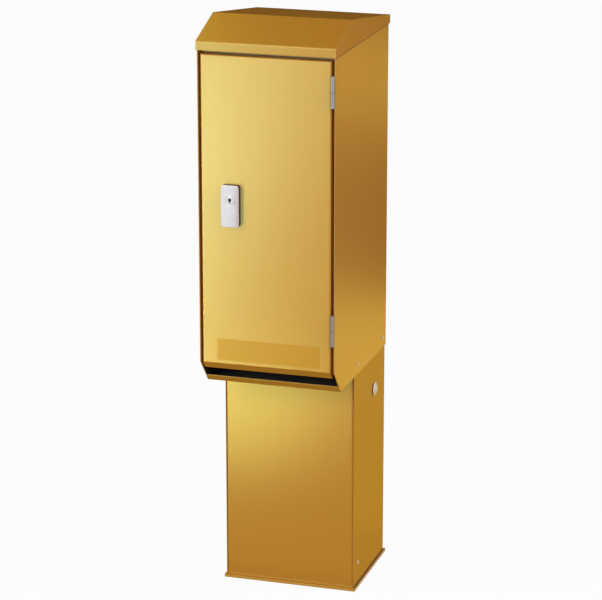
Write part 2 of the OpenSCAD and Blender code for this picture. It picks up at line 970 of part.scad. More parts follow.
// Lower knuckle of a lift-off hinge with the leaf on the cabinet's wall
module hinge_seats() {
    high = hinge_h / 2 - washer_t / 2;
    color("darkgray")
        for (z = hinge_zs)
            translate([0, 0, z - hinge_h / 2])
                difference() {
                    union() {
                        translate([hinge_x, hinge_y, 0])
                            cylinder(r = knuckle_r, h = high);
                        translate([inner_x - leaf_t, hinge_y, 0])
                            cube([leaf_t, hinge_out + leaf_d, high]);
                    }
                    translate([hinge_x, hinge_y, -over])
                        cylinder(r = pin_r, h = high + 2 * over);
                }
}

module hinge_pins() {
    color("silver")
        for (z = hinge_zs)
            translate([hinge_x, hinge_y, z - hinge_h / 2])
                cylinder(r = pin_r, h = hinge_h - knuckle_cap - hinge_play);
}

module hinge_washers() {
    color("goldenrod")
        for (z = hinge_zs)
            translate([hinge_x, hinge_y, z - washer_t / 2])
                difference() {
                    cylinder(r = knuckle_r, h = washer_t);
                    translate([0, 0, -over])
                        cylinder(r = pin_r + turn_play, h = washer_t + 2 * over);
                }
}

// Flanged sleeve in the door's sheet that the handle's spindle turns in
module handle_bush() {
    tail = sheet_t + bush_nut_h + bush_tail;
    color("silver")
        translate([lock_x, front_y, lock_z])
            difference() {
                union() {
                    translate([0, -bush_flange_t, 0])
                        rod_y(bush_flange_r, bush_flange_t);
                    rod_y(bush_r, tail);
                }
                translate([0, -bush_flange_t - over, 0])
                    rod_y(spindle_r + turn_play, bush_flange_t + tail + 2 * over);
            }
}

module bush_nut() {
    color("silver")
        translate([lock_x, front_y + sheet_t, lock_z])
            rotate([-90, 0, 0])
                difference() {
                    cylinder(r = bush_r + bush_nut_wall, h = bush_nut_h, $fn = 6);
                    translate([0, 0, -over])
                        cylinder(r = bush_r + turn_play, h = bush_nut_h + 2 * over);
                }
}

module handle_outline() {
    half_w = handle_w / 2;
    r = handle_corner_r;
    polygon(rounded(
        [[-half_w, -handle_drop], [half_w, -handle_drop], [half_w, handle_rise], [-half_w, handle_rise]],
        [r, r, r, r]
    ));
}

// Moulded block under the bright plate, with a seat for the lock barrel
module turn_handle() {
    front = plate_t + seat_gap;
    color("dimgray")
        translate([lock_x, handle_front_y + front, lock_z])
            difference() {
                along_y(handle_t - front)
                    handle_outline();
                translate([0, -over, 0])
                    rod_y(barrel_r, barrel_depth - front + over);
            }
}

// Bright plate on the handle, gently crowned
module handle_plate() {
    color("whitesmoke")
        translate([lock_x, handle_front_y, lock_z])
            difference() {
                intersection() {
                    along_y(plate_t)
                        handle_outline();
                    translate([0, handle_crown_r, -handle_drop - over])
                        cylinder(r = handle_crown_r, h = handle_drop + handle_rise + 2 * over, $fn = 720);
                }
                translate([0, -over, 0])
                    rod_y(barrel_r, plate_t + 2 * over);
            }
}

module handle_spindle() {
    color("silver")
        translate([lock_x, handle_y, lock_z])
            difference() {
                union() {
                    rod_y(spindle_r, cam_y - handle_y);
                    translate([-spindle_square / 2, cam_y - handle_y, -spindle_square / 2])
                        cube([spindle_square, cam_t, spindle_square]);
                }
                translate([0, cam_y + cam_t - handle_y - cam_bolt_len, 0])
                    rod_y(cam_bolt_r, cam_bolt_len + over);
            }
}

module latch_cam() {
    hole = spindle_square + 2 * square_play;
    color("silver")
        translate([lock_x, cam_y, lock_z])
            difference() {
                union() {
                    rod_y(cam_hub_r, cam_t);
                    translate([-cam_w / 2, 0, 0])
                        cube([cam_w, cam_t, cam_len - cam_w / 2]);
                    translate([0, 0, cam_len - cam_w / 2])
                        rod_y(cam_w / 2, cam_t);
                }
                translate([-hole / 2, -over, -hole / 2])
                    cube([hole, cam_t + 2 * over, hole]);
            }
}

module cam_bolt() {
    color("silver")
        translate([lock_x, cam_y + cam_t, lock_z]) {
            rod_y(cam_bolt_head_r, cam_bolt_head_h);
            translate([0, -cam_bolt_len, 0])
                rod_y(cam_bolt_r, cam_bolt_len + cam_bolt_head_h / 2);
        }
}

module lock_barrel() {
    color("silver")
        translate([lock_x, handle_front_y - barrel_proud, lock_z])
            difference() {
                rod_y(barrel_r, barrel_proud + barrel_depth);
                translate([0, -over, 0])
                    rod_y(plug_r + turn_play, barrel_proud + barrel_depth + 2 * over);
            }
}

module key_plug() {
    through = barrel_proud + barrel_depth + 2 * over;
    color("silver")
        translate([lock_x, handle_front_y - barrel_proud, lock_z])
            difference() {
                rod_y(plug_r, barrel_proud + barrel_depth);
                translate([0, -over, 0])
                    rod_y(key_hole_r, through);
                translate([-key_bit_w / 2, -over, -key_bit_len])
                    cube([key_bit_w, through, key_bit_len]);
            }
}

module panel_screw_holes() {
    at_panel_screws()
        translate([0, 0, -panel_screw_len])
            cylinder(r = screw_r + screw_play, h = panel_screw_len + over);
}

module panel_brackets() {
    path = [
        [inner_x - bracket_flange, panel_rear_y], [inner_x, panel_rear_y],
        [inner_x, panel_rear_y + bracket_flange]
    ];
    color("silver")
        difference() {
            for (side = [0, 1])
                mirror([side, 0, 0])
                    translate([0, 0, pedestal_top_z + bracket_lift])
                        linear_extrude(panel_top_z - pedestal_top_z - bracket_lift)
                            polygon(folded(path, sheet_t, bend_r));
            panel_screw_holes();
        }
}

module socket_panel() {
    path = [
        [pedestal_front_y, pedestal_top_z], [panel_rear_y, pedestal_top_z], [panel_rear_y, panel_top_z]
    ];
    deep = panel_t + 2 * over;
    color("gainsboro")
        difference() {
            along_x(panel_w)
                polygon(folded(path, panel_t, bend_r));
            translate([0, panel_front_y - over, window_z])
                along_y(deep)
                    polygon(box_outline(row_w + 2 * cutout_play, nose_h + 2 * cutout_play, cutout_r));
            for (side = [-1, 1]) {
                translate([side * power_x, panel_front_y - over, power_z])
                    rod_y(power_back_r + cutout_play, deep);
                translate([side * house_x, panel_front_y - over, house_z])
                    rod_y(house_back_r + cutout_play, deep);
            }
            panel_screw_holes();
        }
}

module panel_screws() {
    color("silver")
        at_panel_screws()
            button_screw(panel_screw_len);
}

// Two ears that carry a socket lid's pin, with the pin's axis at the given place
module lid_ears(y, z, deep) {
    rim = lid_t / 2 + seat_gap;
    for (side = [-1, 1])
        translate([side * (ear_x + ear_t / 2), y, z])
            difference() {
                union() {
                    rod_x(lid_knuckle_r, ear_t);
                    translate([-ear_t / 2, 0, -lid_knuckle_r])
                        cube([ear_t, deep, 2 * lid_knuckle_r]);
                    translate([-ear_t / 2, rim, -ear_drop])
                        cube([ear_t, deep - rim, ear_drop]);
                }
                rod_x(lid_pin_r + turn_play, ear_t + 2 * over);
            }
}

// Place of a lid's pin in front of the panel, as y and z
function lid_pin(flange_t, collar_len, collar_r) =
    [-flange_t - collar_len - seat_gap - lid_t / 2, collar_r + lid_knuckle_r + lid_clear];

// Flange, collar, ears and rear housing of a socket, in front of and behind y 0
module socket_form(flange_w, flange_t, collar_r, collar_len, back_r, back_len) {
    pin = lid_pin(flange_t, collar_len, collar_r);
    flange_h = 2 * (pin.y + lid_knuckle_r + flange_edge);
    translate([0, -flange_t, 0])
        along_y(flange_t)
            polygon(box_outline(flange_w, flange_h, flange_corner_r));
    translate([0, -flange_t - collar_len, 0])
        rod_y(collar_r, collar_len + flange_t);
    rod_y(back_r, back_len);
    lid_ears(pin.x, pin.y, -pin.x - flange_t);
}

module power_socket() {
    rim_y = -power_flange_t - power_collar_len;
    difference() {
        socket_form(
            power_flange_w, power_flange_t, power_collar_r, power_collar_len, power_back_r, power_back_len
        );
        translate([0, rim_y - over, 0])
            rod_y(power_bore_r, power_face + over);
        translate([0, rim_y, 0])
            difference() {
                rod_y(power_bore_r, power_groove);
                translate([0, -over, 0])
                    rod_y(power_core_r, power_groove + 2 * over);
            }
        for (i = [0:power_pins - 1])
            rotate([0, 360 * i / power_pins, 0])
                translate([0, rim_y, -power_pin_ring_r])
                    rod_y(power_pin_r, power_face + power_pin_depth);
    }
}

module house_socket() {
    rim_y = -house_flange_t - house_collar_len;
    difference() {
        socket_form(
            house_flange_w, house_flange_t, house_collar_r, house_collar_len, house_back_r, house_back_len
        );
        translate([0, rim_y - over, 0])
            rod_y(house_bore_r, house_recess + over);
        for (side = [-1, 1])
            translate([side * house_pin_pitch / 2, rim_y, 0])
                rod_y(house_pin_r, house_recess + house_pin_depth);
    }
}

// A lid of the given front view, with its tongue, knuckle, pin and finger tab
module socket_lid(lid_r, flange_t, collar_len, collar_r) {
    pin = lid_pin(flange_t, collar_len, collar_r);
    knuckle_len = 2 * (ear_x - seat_gap);
    back_y = -flange_t - collar_len - seat_gap;
    translate([0, back_y - lid_t, 0])
        along_y(lid_t)
            children();
    translate([-knuckle_len / 2, back_y - lid_t, 0])
        cube([knuckle_len, lid_t / 2, pin.y]);
    translate([0, pin.x, pin.y]) {
        rod_x(lid_knuckle_r, knuckle_len);
        rod_x(lid_pin_r, 2 * (ear_x + ear_t));
    }
    translate([-tab_w / 2, back_y - lid_t, -lid_r - tab_h])
        cube([tab_w, tab_t, tab_h + lid_t]);
}

module power_lid() {
    r = power_collar_r + power_lid_rim;
    socket_lid(r, power_flange_t, power_collar_len, power_collar_r)
        circle(r);
}

module house_lid() {
    socket_lid(house_collar_r, house_flange_t, house_collar_len, house_collar_r)
        polygon(box_outline(2 * house_collar_r, 2 * house_collar_r, house_lid_corner_r));
}

module at_power(side) {
    translate([side * power_x, panel_front_y, power_z])
        children();
}

module at_house(side) {
    translate([side * house_x, panel_front_y, house_z])
        children();
}

module left_power_socket() {
    color("lightgray")
        at_power(-1)
            power_socket();
}

module right_power_socket() {
    color("lightgray")
        at_power(1)
            power_socket();
}

module left_power_lid() {
    color("firebrick")
        at_power(-1)
            power_lid();
}

module right_power_lid() {
    color("firebrick")
        at_power(1)
            power_lid();
}

module left_house_socket() {
    color("lightgray")
        at_house(-1)
            house_socket();
}

module right_house_socket() {
    color("lightgray")
        at_house(1)
            house_socket();
}

module left_house_lid() {
    color("steelblue")
        at_house(-1)
            house_lid();
}

module right_house_lid() {
    color("steelblue")
        at_house(1)
            house_lid();
}

module window_frame() {
    color("gray")
        difference() {
            union() {
                translate([0, window_front_y, window_z])
                    along_y(window_t)
                        polygon(box_outline(window_w, window_h, window_corner_r));
                for (side = [-1, 1])
                    translate([side * (flap_w / 2 + seat_gap + flap_ear_t / 2), flap_y, flap_z]) {
                        rod_x(flap_knuckle_r, flap_ear_t);
                        translate([-flap_ear_t / 2, 0, -flap_knuckle_r])
                            cube([flap_ear_t, window_front_y + over - flap_y, 2 * flap_knuckle_r]);
                    }
            }
            translate([0, window_front_y - over, window_z])
                along_y(window_t + 2 * over)
                    polygon(box_outline(row_w + 2 * cutout_play, nose_h + 2 * cutout_play, cutout_r));
            translate([0, flap_y, flap_z])
                rod_x(flap_pin_r + turn_play, window_w);
        }
}

// Clear pan over the breakers' noses, with a knuckle and pins along its top
module window_flap() {
    high = flap_z - flap_low_z;
    hollow_h = high - flap_knuckle_r - 2 * flap_wall;
    back_y = window_front_y - seat_gap;
    color("lightcyan", 0.4)
        difference() {
            union() {
                translate([-flap_w / 2, back_y - flap_d, flap_low_z])
                    cube([flap_w, flap_d, high]);
                translate([0, flap_y, flap_z]) {
                    rod_x(flap_knuckle_r, flap_w);
                    rod_x(flap_pin_r, flap_w + 2 * (seat_gap + flap_ear_t));
                }
                translate([-flap_pull_w / 2, back_y - flap_d, flap_low_z - flap_pull_h])
                    cube([flap_pull_w, flap_wall, flap_pull_h + flap_wall]);
            }
            translate([flap_wall - flap_w / 2, back_y - flap_d + flap_wall, flap_low_z + flap_wall])
                cube([flap_w - 2 * flap_wall, flap_d, hollow_h]);
        }
}

module device_rail() {
    color("silver")
        translate([0, rail_y, window_z])
            top_hat_rail(row_w + 2 * rail_end);
}

module rail_brackets() {
    x = rail_bracket_x;
    path = [
        [x - rail_bracket_foot, rail_back_y], [x, rail_back_y], [x, panel_rear_y],
        [x + rail_bracket_foot, panel_rear_y]
    ];
    color("silver")
        for (side = [0, 1])
            mirror([side, 0, 0])
                translate([0, 0, window_z - rail_bracket_h / 2])
                    linear_extrude(rail_bracket_h)
                        polygon(folded(path, sheet_t, bend_r));
}

// Width of the toggle at place i of the breaker row: the poles share one bar
function toggle_w(i) = module_counts[i] * module_w - 2 * toggle_margin - (i == 0 ? 2 * module_w : 0);

module breaker(i) {
    slot_w = toggle_w(i) + 2 * toggle_play;
    translate([row_x(i), nose_y, window_z])
        difference() {
            along_x(module_counts[i] * module_w - 2 * device_gap)
                polygon(rail_device(nose_h, nose_d, device_h, device_d));
            translate([0, toggle_sink, 0])
                rod_x(toggle_r + toggle_play, slot_w);
            translate([-slot_w / 2, -over, -toggle_slot_h / 2])
                cube([slot_w, toggle_sink + over, toggle_slot_h]);
        }
}

module toggle(i) {
    translate([row_x(i), nose_y + toggle_sink, window_z]) {
        rod_x(toggle_r, toggle_w(i));
        rotate([-toggle_tilt, 0, 0])
            translate([-toggle_w(i) / 2, -toggle_len, -toggle_t / 2])
                cube([toggle_w(i), toggle_len, toggle_t]);
    }
}

module at_test_button() {
    translate([row_x(0) + button_x_share * module_counts[0] * module_w, nose_y, window_z])
        children();
}

module residual_breaker() {
    color("whitesmoke")
        difference() {
            breaker(0);
            at_test_button()
                translate([0, -over, 0])
                    rod_y(button_r + toggle_play, button_depth + over);
        }
}

module test_button() {
    color("gold")
        at_test_button()
            translate([0, -button_proud, 0])
                rod_y(button_r, button_len);
}

module left_triple_breaker() {
    color("whitesmoke")
        breaker(1);
}

module right_triple_breaker() {
    color("whitesmoke")
        breaker(2);
}

module left_single_breaker() {
    color("whitesmoke")
        breaker(3);
}

module right_single_breaker() {
    color("whitesmoke")
        breaker(4);
}

module residual_toggle() {
    color("dimgray")
        toggle(0);
}

module left_triple_toggle() {
    color("dimgray")
        toggle(1);
}

module right_triple_toggle() {
    color("dimgray")
        toggle(2);
}

module left_single_toggle() {
    color("dimgray")
        toggle(3);
}

module right_single_toggle() {
    color("dimgray")
        toggle(4);
}

base_plate();
pedestal_shell();
pedestal_cover();
breather_plug();
breather_seal();
breather_nut();
clamp_rail();
supply_rail();
supply_terminals();
earth_bar();
cabinet_shell();
cabinet_floor();
floor_mat();
body_screws();
clinch_nuts();
roof_cap();
door_frame();
door_gasket();
hinge_seats();
hinge_pins();
hinge_washers();
door();
hinge_leaves();
handle_bush();
bush_nut();
turn_handle();
handle_plate();
handle_spindle();
latch_cam();
cam_bolt();
lock_barrel();
key_plug();
panel_brackets();
socket_panel();
panel_screws();
left_power_socket();
right_power_socket();
left_power_lid();
right_power_lid();
left_house_socket();
right_house_socket();
left_house_lid();
right_house_lid();
window_frame();
window_flap();
device_rail();
rail_brackets();
residual_breaker();
left_triple_breaker();
right_triple_breaker();
left_single_breaker();
right_single_breaker();
residual_toggle();
left_triple_toggle();
right_triple_toggle();
left_single_toggle();
right_single_toggle();
test_button();
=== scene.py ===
"""Looks of a gold sheet-metal feeder pillar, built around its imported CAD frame."""

from __future__ import annotations

import json
import logging
import math
from collections.abc import Sequence
from dataclasses import dataclass, field
from enum import Enum

import bmesh
import bpy
from bpy.types import ID, Collection, Material, Node, NodeSocket, NodeTree, Object
from mathutils import Matrix, Vector


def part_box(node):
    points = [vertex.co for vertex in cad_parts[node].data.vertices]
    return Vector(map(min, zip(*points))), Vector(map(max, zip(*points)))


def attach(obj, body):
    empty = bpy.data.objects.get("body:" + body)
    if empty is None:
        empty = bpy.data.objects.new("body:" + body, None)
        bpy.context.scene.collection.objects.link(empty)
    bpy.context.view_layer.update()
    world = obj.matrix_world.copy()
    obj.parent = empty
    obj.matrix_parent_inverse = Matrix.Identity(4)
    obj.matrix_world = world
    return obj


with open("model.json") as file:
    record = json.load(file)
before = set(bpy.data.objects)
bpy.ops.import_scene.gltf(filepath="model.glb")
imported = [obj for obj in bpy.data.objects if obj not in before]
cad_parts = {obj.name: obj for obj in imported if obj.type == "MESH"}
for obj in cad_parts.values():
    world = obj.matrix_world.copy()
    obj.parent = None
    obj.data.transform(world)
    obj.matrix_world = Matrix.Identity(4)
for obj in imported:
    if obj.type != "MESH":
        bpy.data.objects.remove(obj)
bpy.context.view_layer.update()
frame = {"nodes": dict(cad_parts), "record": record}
LOG = logging.getLogger("feeder_pillar")

Colour = tuple[float, float, float]
Point = tuple[float, float, float]
Pair = tuple[float, float]
Ring = list[Pair]


class Facing(Enum):
    """Which way a small fitting looks: its across, up and outward directions."""

    FRONT = ((1, 0, 0), (0, 0, 1), (0, -1, 0))
    RIGHT = ((0, 1, 0), (0, 0, 1), (1, 0, 0))
    LEFT = ((0, -1, 0), (0, 0, 1), (-1, 0, 0))

    def seat(self, *origin: float) -> Matrix:
        """Gives the matrix of a seat that looks this way.

        Args:
            origin: The seat's place in the row frame.

        Returns:
            Matrix from across, up and outward to the row frame.
        """
        across, up, outward = (Vector(axis) for axis in self.value)
        turn = Matrix((across, up, outward)).transposed()
        return Matrix.Translation(origin) @ turn.to_4x4()


class Body(Enum):
    """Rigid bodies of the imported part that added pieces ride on."""

    PILLAR = "pillar"
    DOOR = "door"
    HANDLE = "handle"


def box_of(node: str) -> tuple[Vector, Vector]:
    """Gives the lowest and highest corner of a CAD node as vectors."""
    low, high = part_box(node)
    return Vector(low), Vector(high)


def middle_of(node: str) -> Vector:
    """Gives the middle of a CAD node's box."""
    low, high = box_of(node)
    return (low + high) / 2


def new_object(name: str, data: ID) -> Object:
    """Makes an object around its data and links it to the scene."""
    obj = bpy.data.objects.new(name, data)
    bpy.context.collection.objects.link(obj)
    return obj


class Shader:
    """Short calls for placing and joining nodes in one shader tree."""

    def __init__(self, tree: NodeTree) -> None:
        """Keeps the tree that the calls work on."""
        self.tree = tree

    def add(self, kind: str, values: dict[str, object] | None = None, **settings: object) -> Node:
        """Places a node and sets its properties and inputs.

        Args:
            kind: Blender's type name of the node.
            values: Constants by input name.
            settings: Properties to set on it.

        Returns:
            The new node.
        """
        node = self.tree.nodes.new(kind)
        for key, value in settings.items():
            setattr(node, key, value)
        self.fix(node, values or {})
        return node

    @staticmethod
    def fix(node: Node, values: dict[str, object]) -> None:
        """Sets constants, given by input name, on a node."""
        for name, value in values.items():
            node.inputs[name].default_value = value

    def link(self, source: NodeSocket, target: NodeSocket) -> None:
        """Joins an output to an input."""
        self.tree.links.new(source, target)

    def span(self, value: NodeSocket, low: float, high: float) -> NodeSocket:
        """Maps a value of 0 to 1 onto a range.

        Args:
            value: Output to map.
            low: Result at 0.
            high: Result at 1.

        Returns:
            The mapped output.
        """
        node = self.add("ShaderNodeMapRange", {"To Min": low, "To Max": high})
        self.link(value, node.inputs["Value"])
        return node.outputs["Result"]

    def blend(self, first: NodeSocket, second: NodeSocket, share: float) -> NodeSocket:
        """Blends two values by a fixed share.

        Args:
            first: Value at a share of 0.
            second: Value at a share of 1.
            share: How far the second value counts.

        Returns:
            The blended value's output.
        """
        node = self.add("ShaderNodeMix", data_type="FLOAT")
        node.inputs[0].default_value = share
        self.link(first, node.inputs[2])
        self.link(second, node.inputs[3])
        return node.outputs[0]

    def mix(
        self, factor: NodeSocket, first: NodeSocket | Colour, second: NodeSocket | Colour
    ) -> NodeSocket:
        """Mixes two colours by a factor.

        Args:
            factor: Output that holds 0 for the first colour and 1 for the second.
            first: Colour or colour output.
            second: Colour or colour output.

        Returns:
            The mixed colour's output.
        """
        node = self.add("ShaderNodeMix", data_type="RGBA")
        self.link(factor, node.inputs["Factor"])
        for socket, colour in ((node.inputs[6], first), (node.inputs[7], second)):
            if isinstance(colour, tuple):
                socket.default_value = (*colour, 1.0)
            else:
                self.link(colour, socket)
        return node.outputs[2]


def new_material(name: str) -> tuple[Material, Shader, Node]:
    """Makes a material, and gives it with its shader and its surface node."""
    material = bpy.data.materials.new(name)
    material.use_nodes = True
    tree = material.node_tree
    return material, Shader(tree), tree.nodes["Principled BSDF"]


class SharedEffects:
    """Shader node groups that several finishes use."""

    GRAIN_DETAIL = 3.0
    MOTTLE_DETAIL = 4.0
    MOTTLE_ROUGHNESS = 0.6
    MOTTLE_SPAN = (0.3, 0.7)  # noise that becomes 0 and 1
    BEVEL_SAMPLES = 6
    # EDGE_SPAN shapes the mask of the painted edge highlight.
    EDGE_SPAN = (1.0, 0.8)  # cosine to the true normal that becomes 0 and 1

    def __init__(self) -> None:
        """Builds each group once."""
        self.grain = self._grain()
        self.mottle = self._mottle()
        self.edges = self._edges()

    @staticmethod
    def _new(
        name: str, inputs: dict[str, str], outputs: dict[str, str]
    ) -> tuple[Shader, Node, Node]:
        """Makes a group with its input and output nodes.

        Args:
            name: The group's name.
            inputs: Socket types by input name.
            outputs: Socket types by output name.

        Returns:
            The group's shader, its input node and its output node.
        """
        tree = bpy.data.node_groups.new(name, "ShaderNodeTree")
        for way, sockets in (("INPUT", inputs), ("OUTPUT", outputs)):
            for label, kind in sockets.items():
                tree.interface.new_socket(name=label, in_out=way, socket_type=kind)
        shader = Shader(tree)
        return shader, shader.add("NodeGroupInput"), shader.add("NodeGroupOutput")

    def _grain(self) -> NodeTree:
        """Gives the group of fine streaks or speckle, stretched along the part's axes."""
        shader, into, out = self._new(
            "fine_grain", {"Stretch": "NodeSocketVector"}, {"Height": "NodeSocketFloat"}
        )
        place = shader.add("ShaderNodeTexCoord")
        scale = shader.add("ShaderNodeMapping")
        noise = shader.add("ShaderNodeTexNoise", {"Scale": 1.0, "Detail": self.GRAIN_DETAIL})
        shader.link(place.outputs["Object"], scale.inputs["Vector"])
        shader.link(into.outputs["Stretch"], scale.inputs["Scale"])
        shader.link(scale.outputs["Vector"], noise.inputs["Vector"])
        shader.link(noise.outputs["Fac"], out.inputs["Height"])
        return shader.tree

    def _mottle(self) -> NodeTree:
        """Gives the group of slow, cloudy change over the surface."""
        shader, into, out = self._new(
            "slow_mottle", {"Scale": "NodeSocketFloat"}, {"Value": "NodeSocketFloat"}
        )
        place = shader.add("ShaderNodeTexCoord")
        clouds = {"Detail": self.MOTTLE_DETAIL, "Roughness": self.MOTTLE_ROUGHNESS}
        noise = shader.add("ShaderNodeTexNoise", clouds)
        low, high = self.MOTTLE_SPAN
        spread = shader.add("ShaderNodeMapRange", {"From Min": low, "From Max": high})
        shader.link(place.outputs["Object"], noise.inputs["Vector"])
        shader.link(into.outputs["Scale"], noise.inputs["Scale"])
        shader.link(noise.outputs["Fac"], spread.inputs["Value"])
        shader.link(spread.outputs["Result"], out.inputs["Value"])
        return shader.tree

    def _edges(self) -> NodeTree:
        """Gives the group of softened edges: a rounded normal, and a mask that is 1 there, for a
        painted highlight colour.
        """
        shader, into, out = self._new(
            "soft_edges",
            {"Radius": "NodeSocketFloat"},
            {"Normal": "NodeSocketVector", "Mask": "NodeSocketFloat"},
        )
        bevel = shader.add("ShaderNodeBevel", samples=self.BEVEL_SAMPLES)
        geometry = shader.add("ShaderNodeNewGeometry")
        facing = shader.add("ShaderNodeVectorMath", operation="DOT_PRODUCT")
        flat, bent = self.EDGE_SPAN
        mask = shader.add("ShaderNodeMapRange", {"From Min": flat, "From Max": bent})
        shader.link(into.outputs["Radius"], bevel.inputs["Radius"])
        shader.link(bevel.outputs["Normal"], facing.inputs[0])
        shader.link(geometry.outputs["Normal"], facing.inputs[1])
        shader.link(facing.outputs["Value"], mask.inputs["Value"])
        shader.link(bevel.outputs["Normal"], out.inputs["Normal"])
        shader.link(mask.outputs["Result"], out.inputs["Mask"])
        return shader.tree


# Frequencies of grain along the part's axes
BRUSHED = (190.0, 190.0, 1.6)
STREAKS_UP = (700.0, 700.0, 9.0)
MOULDED = (1400.0,) * 3
FINE_MOULDED = (1600.0,) * 3


@dataclass(frozen=True)
class Finish:
    """A surface: its colours, gloss, grain and softened edges, with a painted highlight colour
    along the edges.

    Attributes:
        name: Material's name.
        base: Main colour.
        shade: Colour in the darker patches.
        edge_highlight: Painted highlight colour along the edges.
        metallic: How far it is bare metal.
        roughness: Gloss range over the patches.
        stretch: Grain's frequency along the part's axes.
        grain: Height of the grain in metres.
        mottle: Frequency of the patches.
        streak: Share of brushed streaks in the patches.
        edge_radius: Radius of the softened edges in metres.
        clear: How far light passes through.
        tint: Colour of the gloss.
        specular: Strength of the gloss.
    """

    name: str
    base: Colour
    shade: Colour
    edge_highlight: Colour
    metallic: float = 0.0
    roughness: Pair = (0.4, 0.5)
    stretch: Point = (900.0,) * 3
    grain: float = 0.00002
    mottle: float = 6.0
    streak: float = 0.0
    edge_radius: float = 0.0006
    clear: float = 0.0
    tint: Colour = (1.0, 1.0, 1.0)
    specular: float = 0.5

    def material(self, effects: SharedEffects) -> Material:
        """Builds the finish's material.

        Args:
            effects: Shared node groups.

        Returns:
            The material.
        """
        material, shader, surface = new_material(self.name)
        group = "ShaderNodeGroup"
        grain = shader.add(group, {"Stretch": self.stretch}, node_tree=effects.grain)
        mottle = shader.add(group, {"Scale": self.mottle}, node_tree=effects.mottle)
        edges = shader.add(group, {"Radius": self.edge_radius}, node_tree=effects.edges)
        bump = shader.add("ShaderNodeBump", {"Strength": 1.0, "Distance": self.grain})
        change = mottle.outputs["Value"]
        if self.streak:
            brushed = shader.add(group, {"Stretch": BRUSHED}, node_tree=effects.grain)
            change = shader.blend(change, brushed.outputs["Height"], self.streak)
        patches = shader.mix(change, self.base, self.shade)
        # Painted highlight: the lighter edge colour is mixed in where the edge mask is 1.
        colour = shader.mix(edges.outputs["Mask"], patches, self.edge_highlight)
        gloss = shader.span(change, *self.roughness)
        shader.link(colour, surface.inputs["Base Color"])
        shader.link(gloss, surface.inputs["Roughness"])
        shader.link(grain.outputs["Height"], bump.inputs["Height"])
        shader.link(edges.outputs["Normal"], bump.inputs["Normal"])
        shader.link(bump.outputs["Normal"], surface.inputs["Normal"])
        shader.fix(surface, {
            "Metallic": self.metallic, "Specular Tint": (*self.tint, 1.0),
            "Specular IOR Level": self.specular, "Transmission Weight": self.clear,
        })
        return material


GOLD_SHEET = Finish(
    "gold_sheet", (0.648, 0.285, 0.031), (0.592, 0.256, 0.027), (0.78, 0.48, 0.12),
    roughness=(0.26, 0.34), stretch=STREAKS_UP, grain=0.0000006, mottle=3.0, streak=0.7,
    edge_radius=0.0012, specular=1.0, tint=(0.76, 1.0, 0.41),
)
LABEL_FILM = Finish(
    "label_film", (0.66, 0.29, 0.024), (0.63, 0.275, 0.022), (0.7, 0.36, 0.05),
    roughness=(0.3, 0.36), grain=0.000001, mottle=8.0, specular=0.5, tint=(0.76, 1.0, 0.3),
)
HINGE_STEEL = Finish(
    "hinge_steel", (0.4, 0.388, 0.385), (0.34, 0.33, 0.325), (0.5, 0.485, 0.475),
    metallic=0.85, roughness=(0.38, 0.5), stretch=STREAKS_UP, grain=0.000006, mottle=40.0,
    edge_radius=0.0004,
)
BRIGHT_METAL = Finish(
    "bright_metal", (0.66, 0.65, 0.66), (0.6, 0.59, 0.6), (0.78, 0.78, 0.79),
    metallic=1.0, roughness=(0.14, 0.22), stretch=STREAKS_UP, grain=0.000002, mottle=25.0,
)
CAST_ALLOY = Finish(
    "cast_alloy", (0.9, 0.82, 0.62), (0.85, 0.77, 0.57), (0.92, 0.86, 0.7),
    metallic=0.2, roughness=(0.36, 0.48), grain=0.000004, mottle=60.0,
)
SCREW_ALLOY = Finish(
    "screw_alloy", (0.92, 0.72, 0.46), (0.88, 0.68, 0.42), (0.94, 0.78, 0.55),
    metallic=0.1, roughness=(0.4, 0.52), grain=0.000004, mottle=60.0,
)
# Painted light: a lighter, paler gold than the sheet's, for the door frame, to brighten the shaded
# gaps around the door.
PAINTED_LIGHT_GOLD_FRAME = Finish(
    "gold_frame_painted_light", (0.8, 0.58, 0.26), (0.76, 0.54, 0.23), (0.85, 0.66, 0.34),
    roughness=(0.34, 0.4), stretch=STREAKS_UP, grain=0.0000006, mottle=3.0,
)
# Painted shade: a dark brown for the beads that stand in for the shadow line where the pedestal
# meets the base plate.
PAINTED_SEAM_SHADE = Finish(
    "painted_seam_shade", (0.24, 0.115, 0.016), (0.2, 0.095, 0.013), (0.3, 0.15, 0.025),
    roughness=(0.6, 0.75), grain=0.00002, mottle=25.0, specular=0.3,
)
ZINC_STEEL = Finish(
    "zinc_steel", (0.55, 0.56, 0.57), (0.44, 0.45, 0.47), (0.68, 0.69, 0.7),
    metallic=0.9, roughness=(0.3, 0.48), stretch=(220.0,) * 3, grain=0.00001, mottle=45.0,
    edge_radius=0.0003,
)
BRASS = Finish(
    "brass", (0.66, 0.44, 0.15), (0.56, 0.35, 0.11), (0.78, 0.58, 0.26),
    metallic=0.95, roughness=(0.25, 0.38), grain=0.000006, mottle=50.0, edge_radius=0.0003,
)
GREY_SHEET = Finish(
    "grey_sheet", (0.58, 0.59, 0.59), (0.53, 0.54, 0.54), (0.68, 0.68, 0.68),
    roughness=(0.42, 0.52), stretch=(500.0,) * 3, grain=0.00003, mottle=5.0,
)
GREY_PLASTIC = Finish(
    "grey_plastic", (0.36, 0.37, 0.38), (0.32, 0.33, 0.34), (0.44, 0.45, 0.46),
    roughness=(0.42, 0.55), stretch=MOULDED, grain=0.00004, mottle=20.0,
)
RED_PLASTIC = Finish(
    "red_plastic", (0.5, 0.035, 0.025), (0.43, 0.028, 0.02), (0.62, 0.08, 0.06),
    roughness=(0.36, 0.48), stretch=MOULDED, grain=0.00003, mottle=18.0,
)
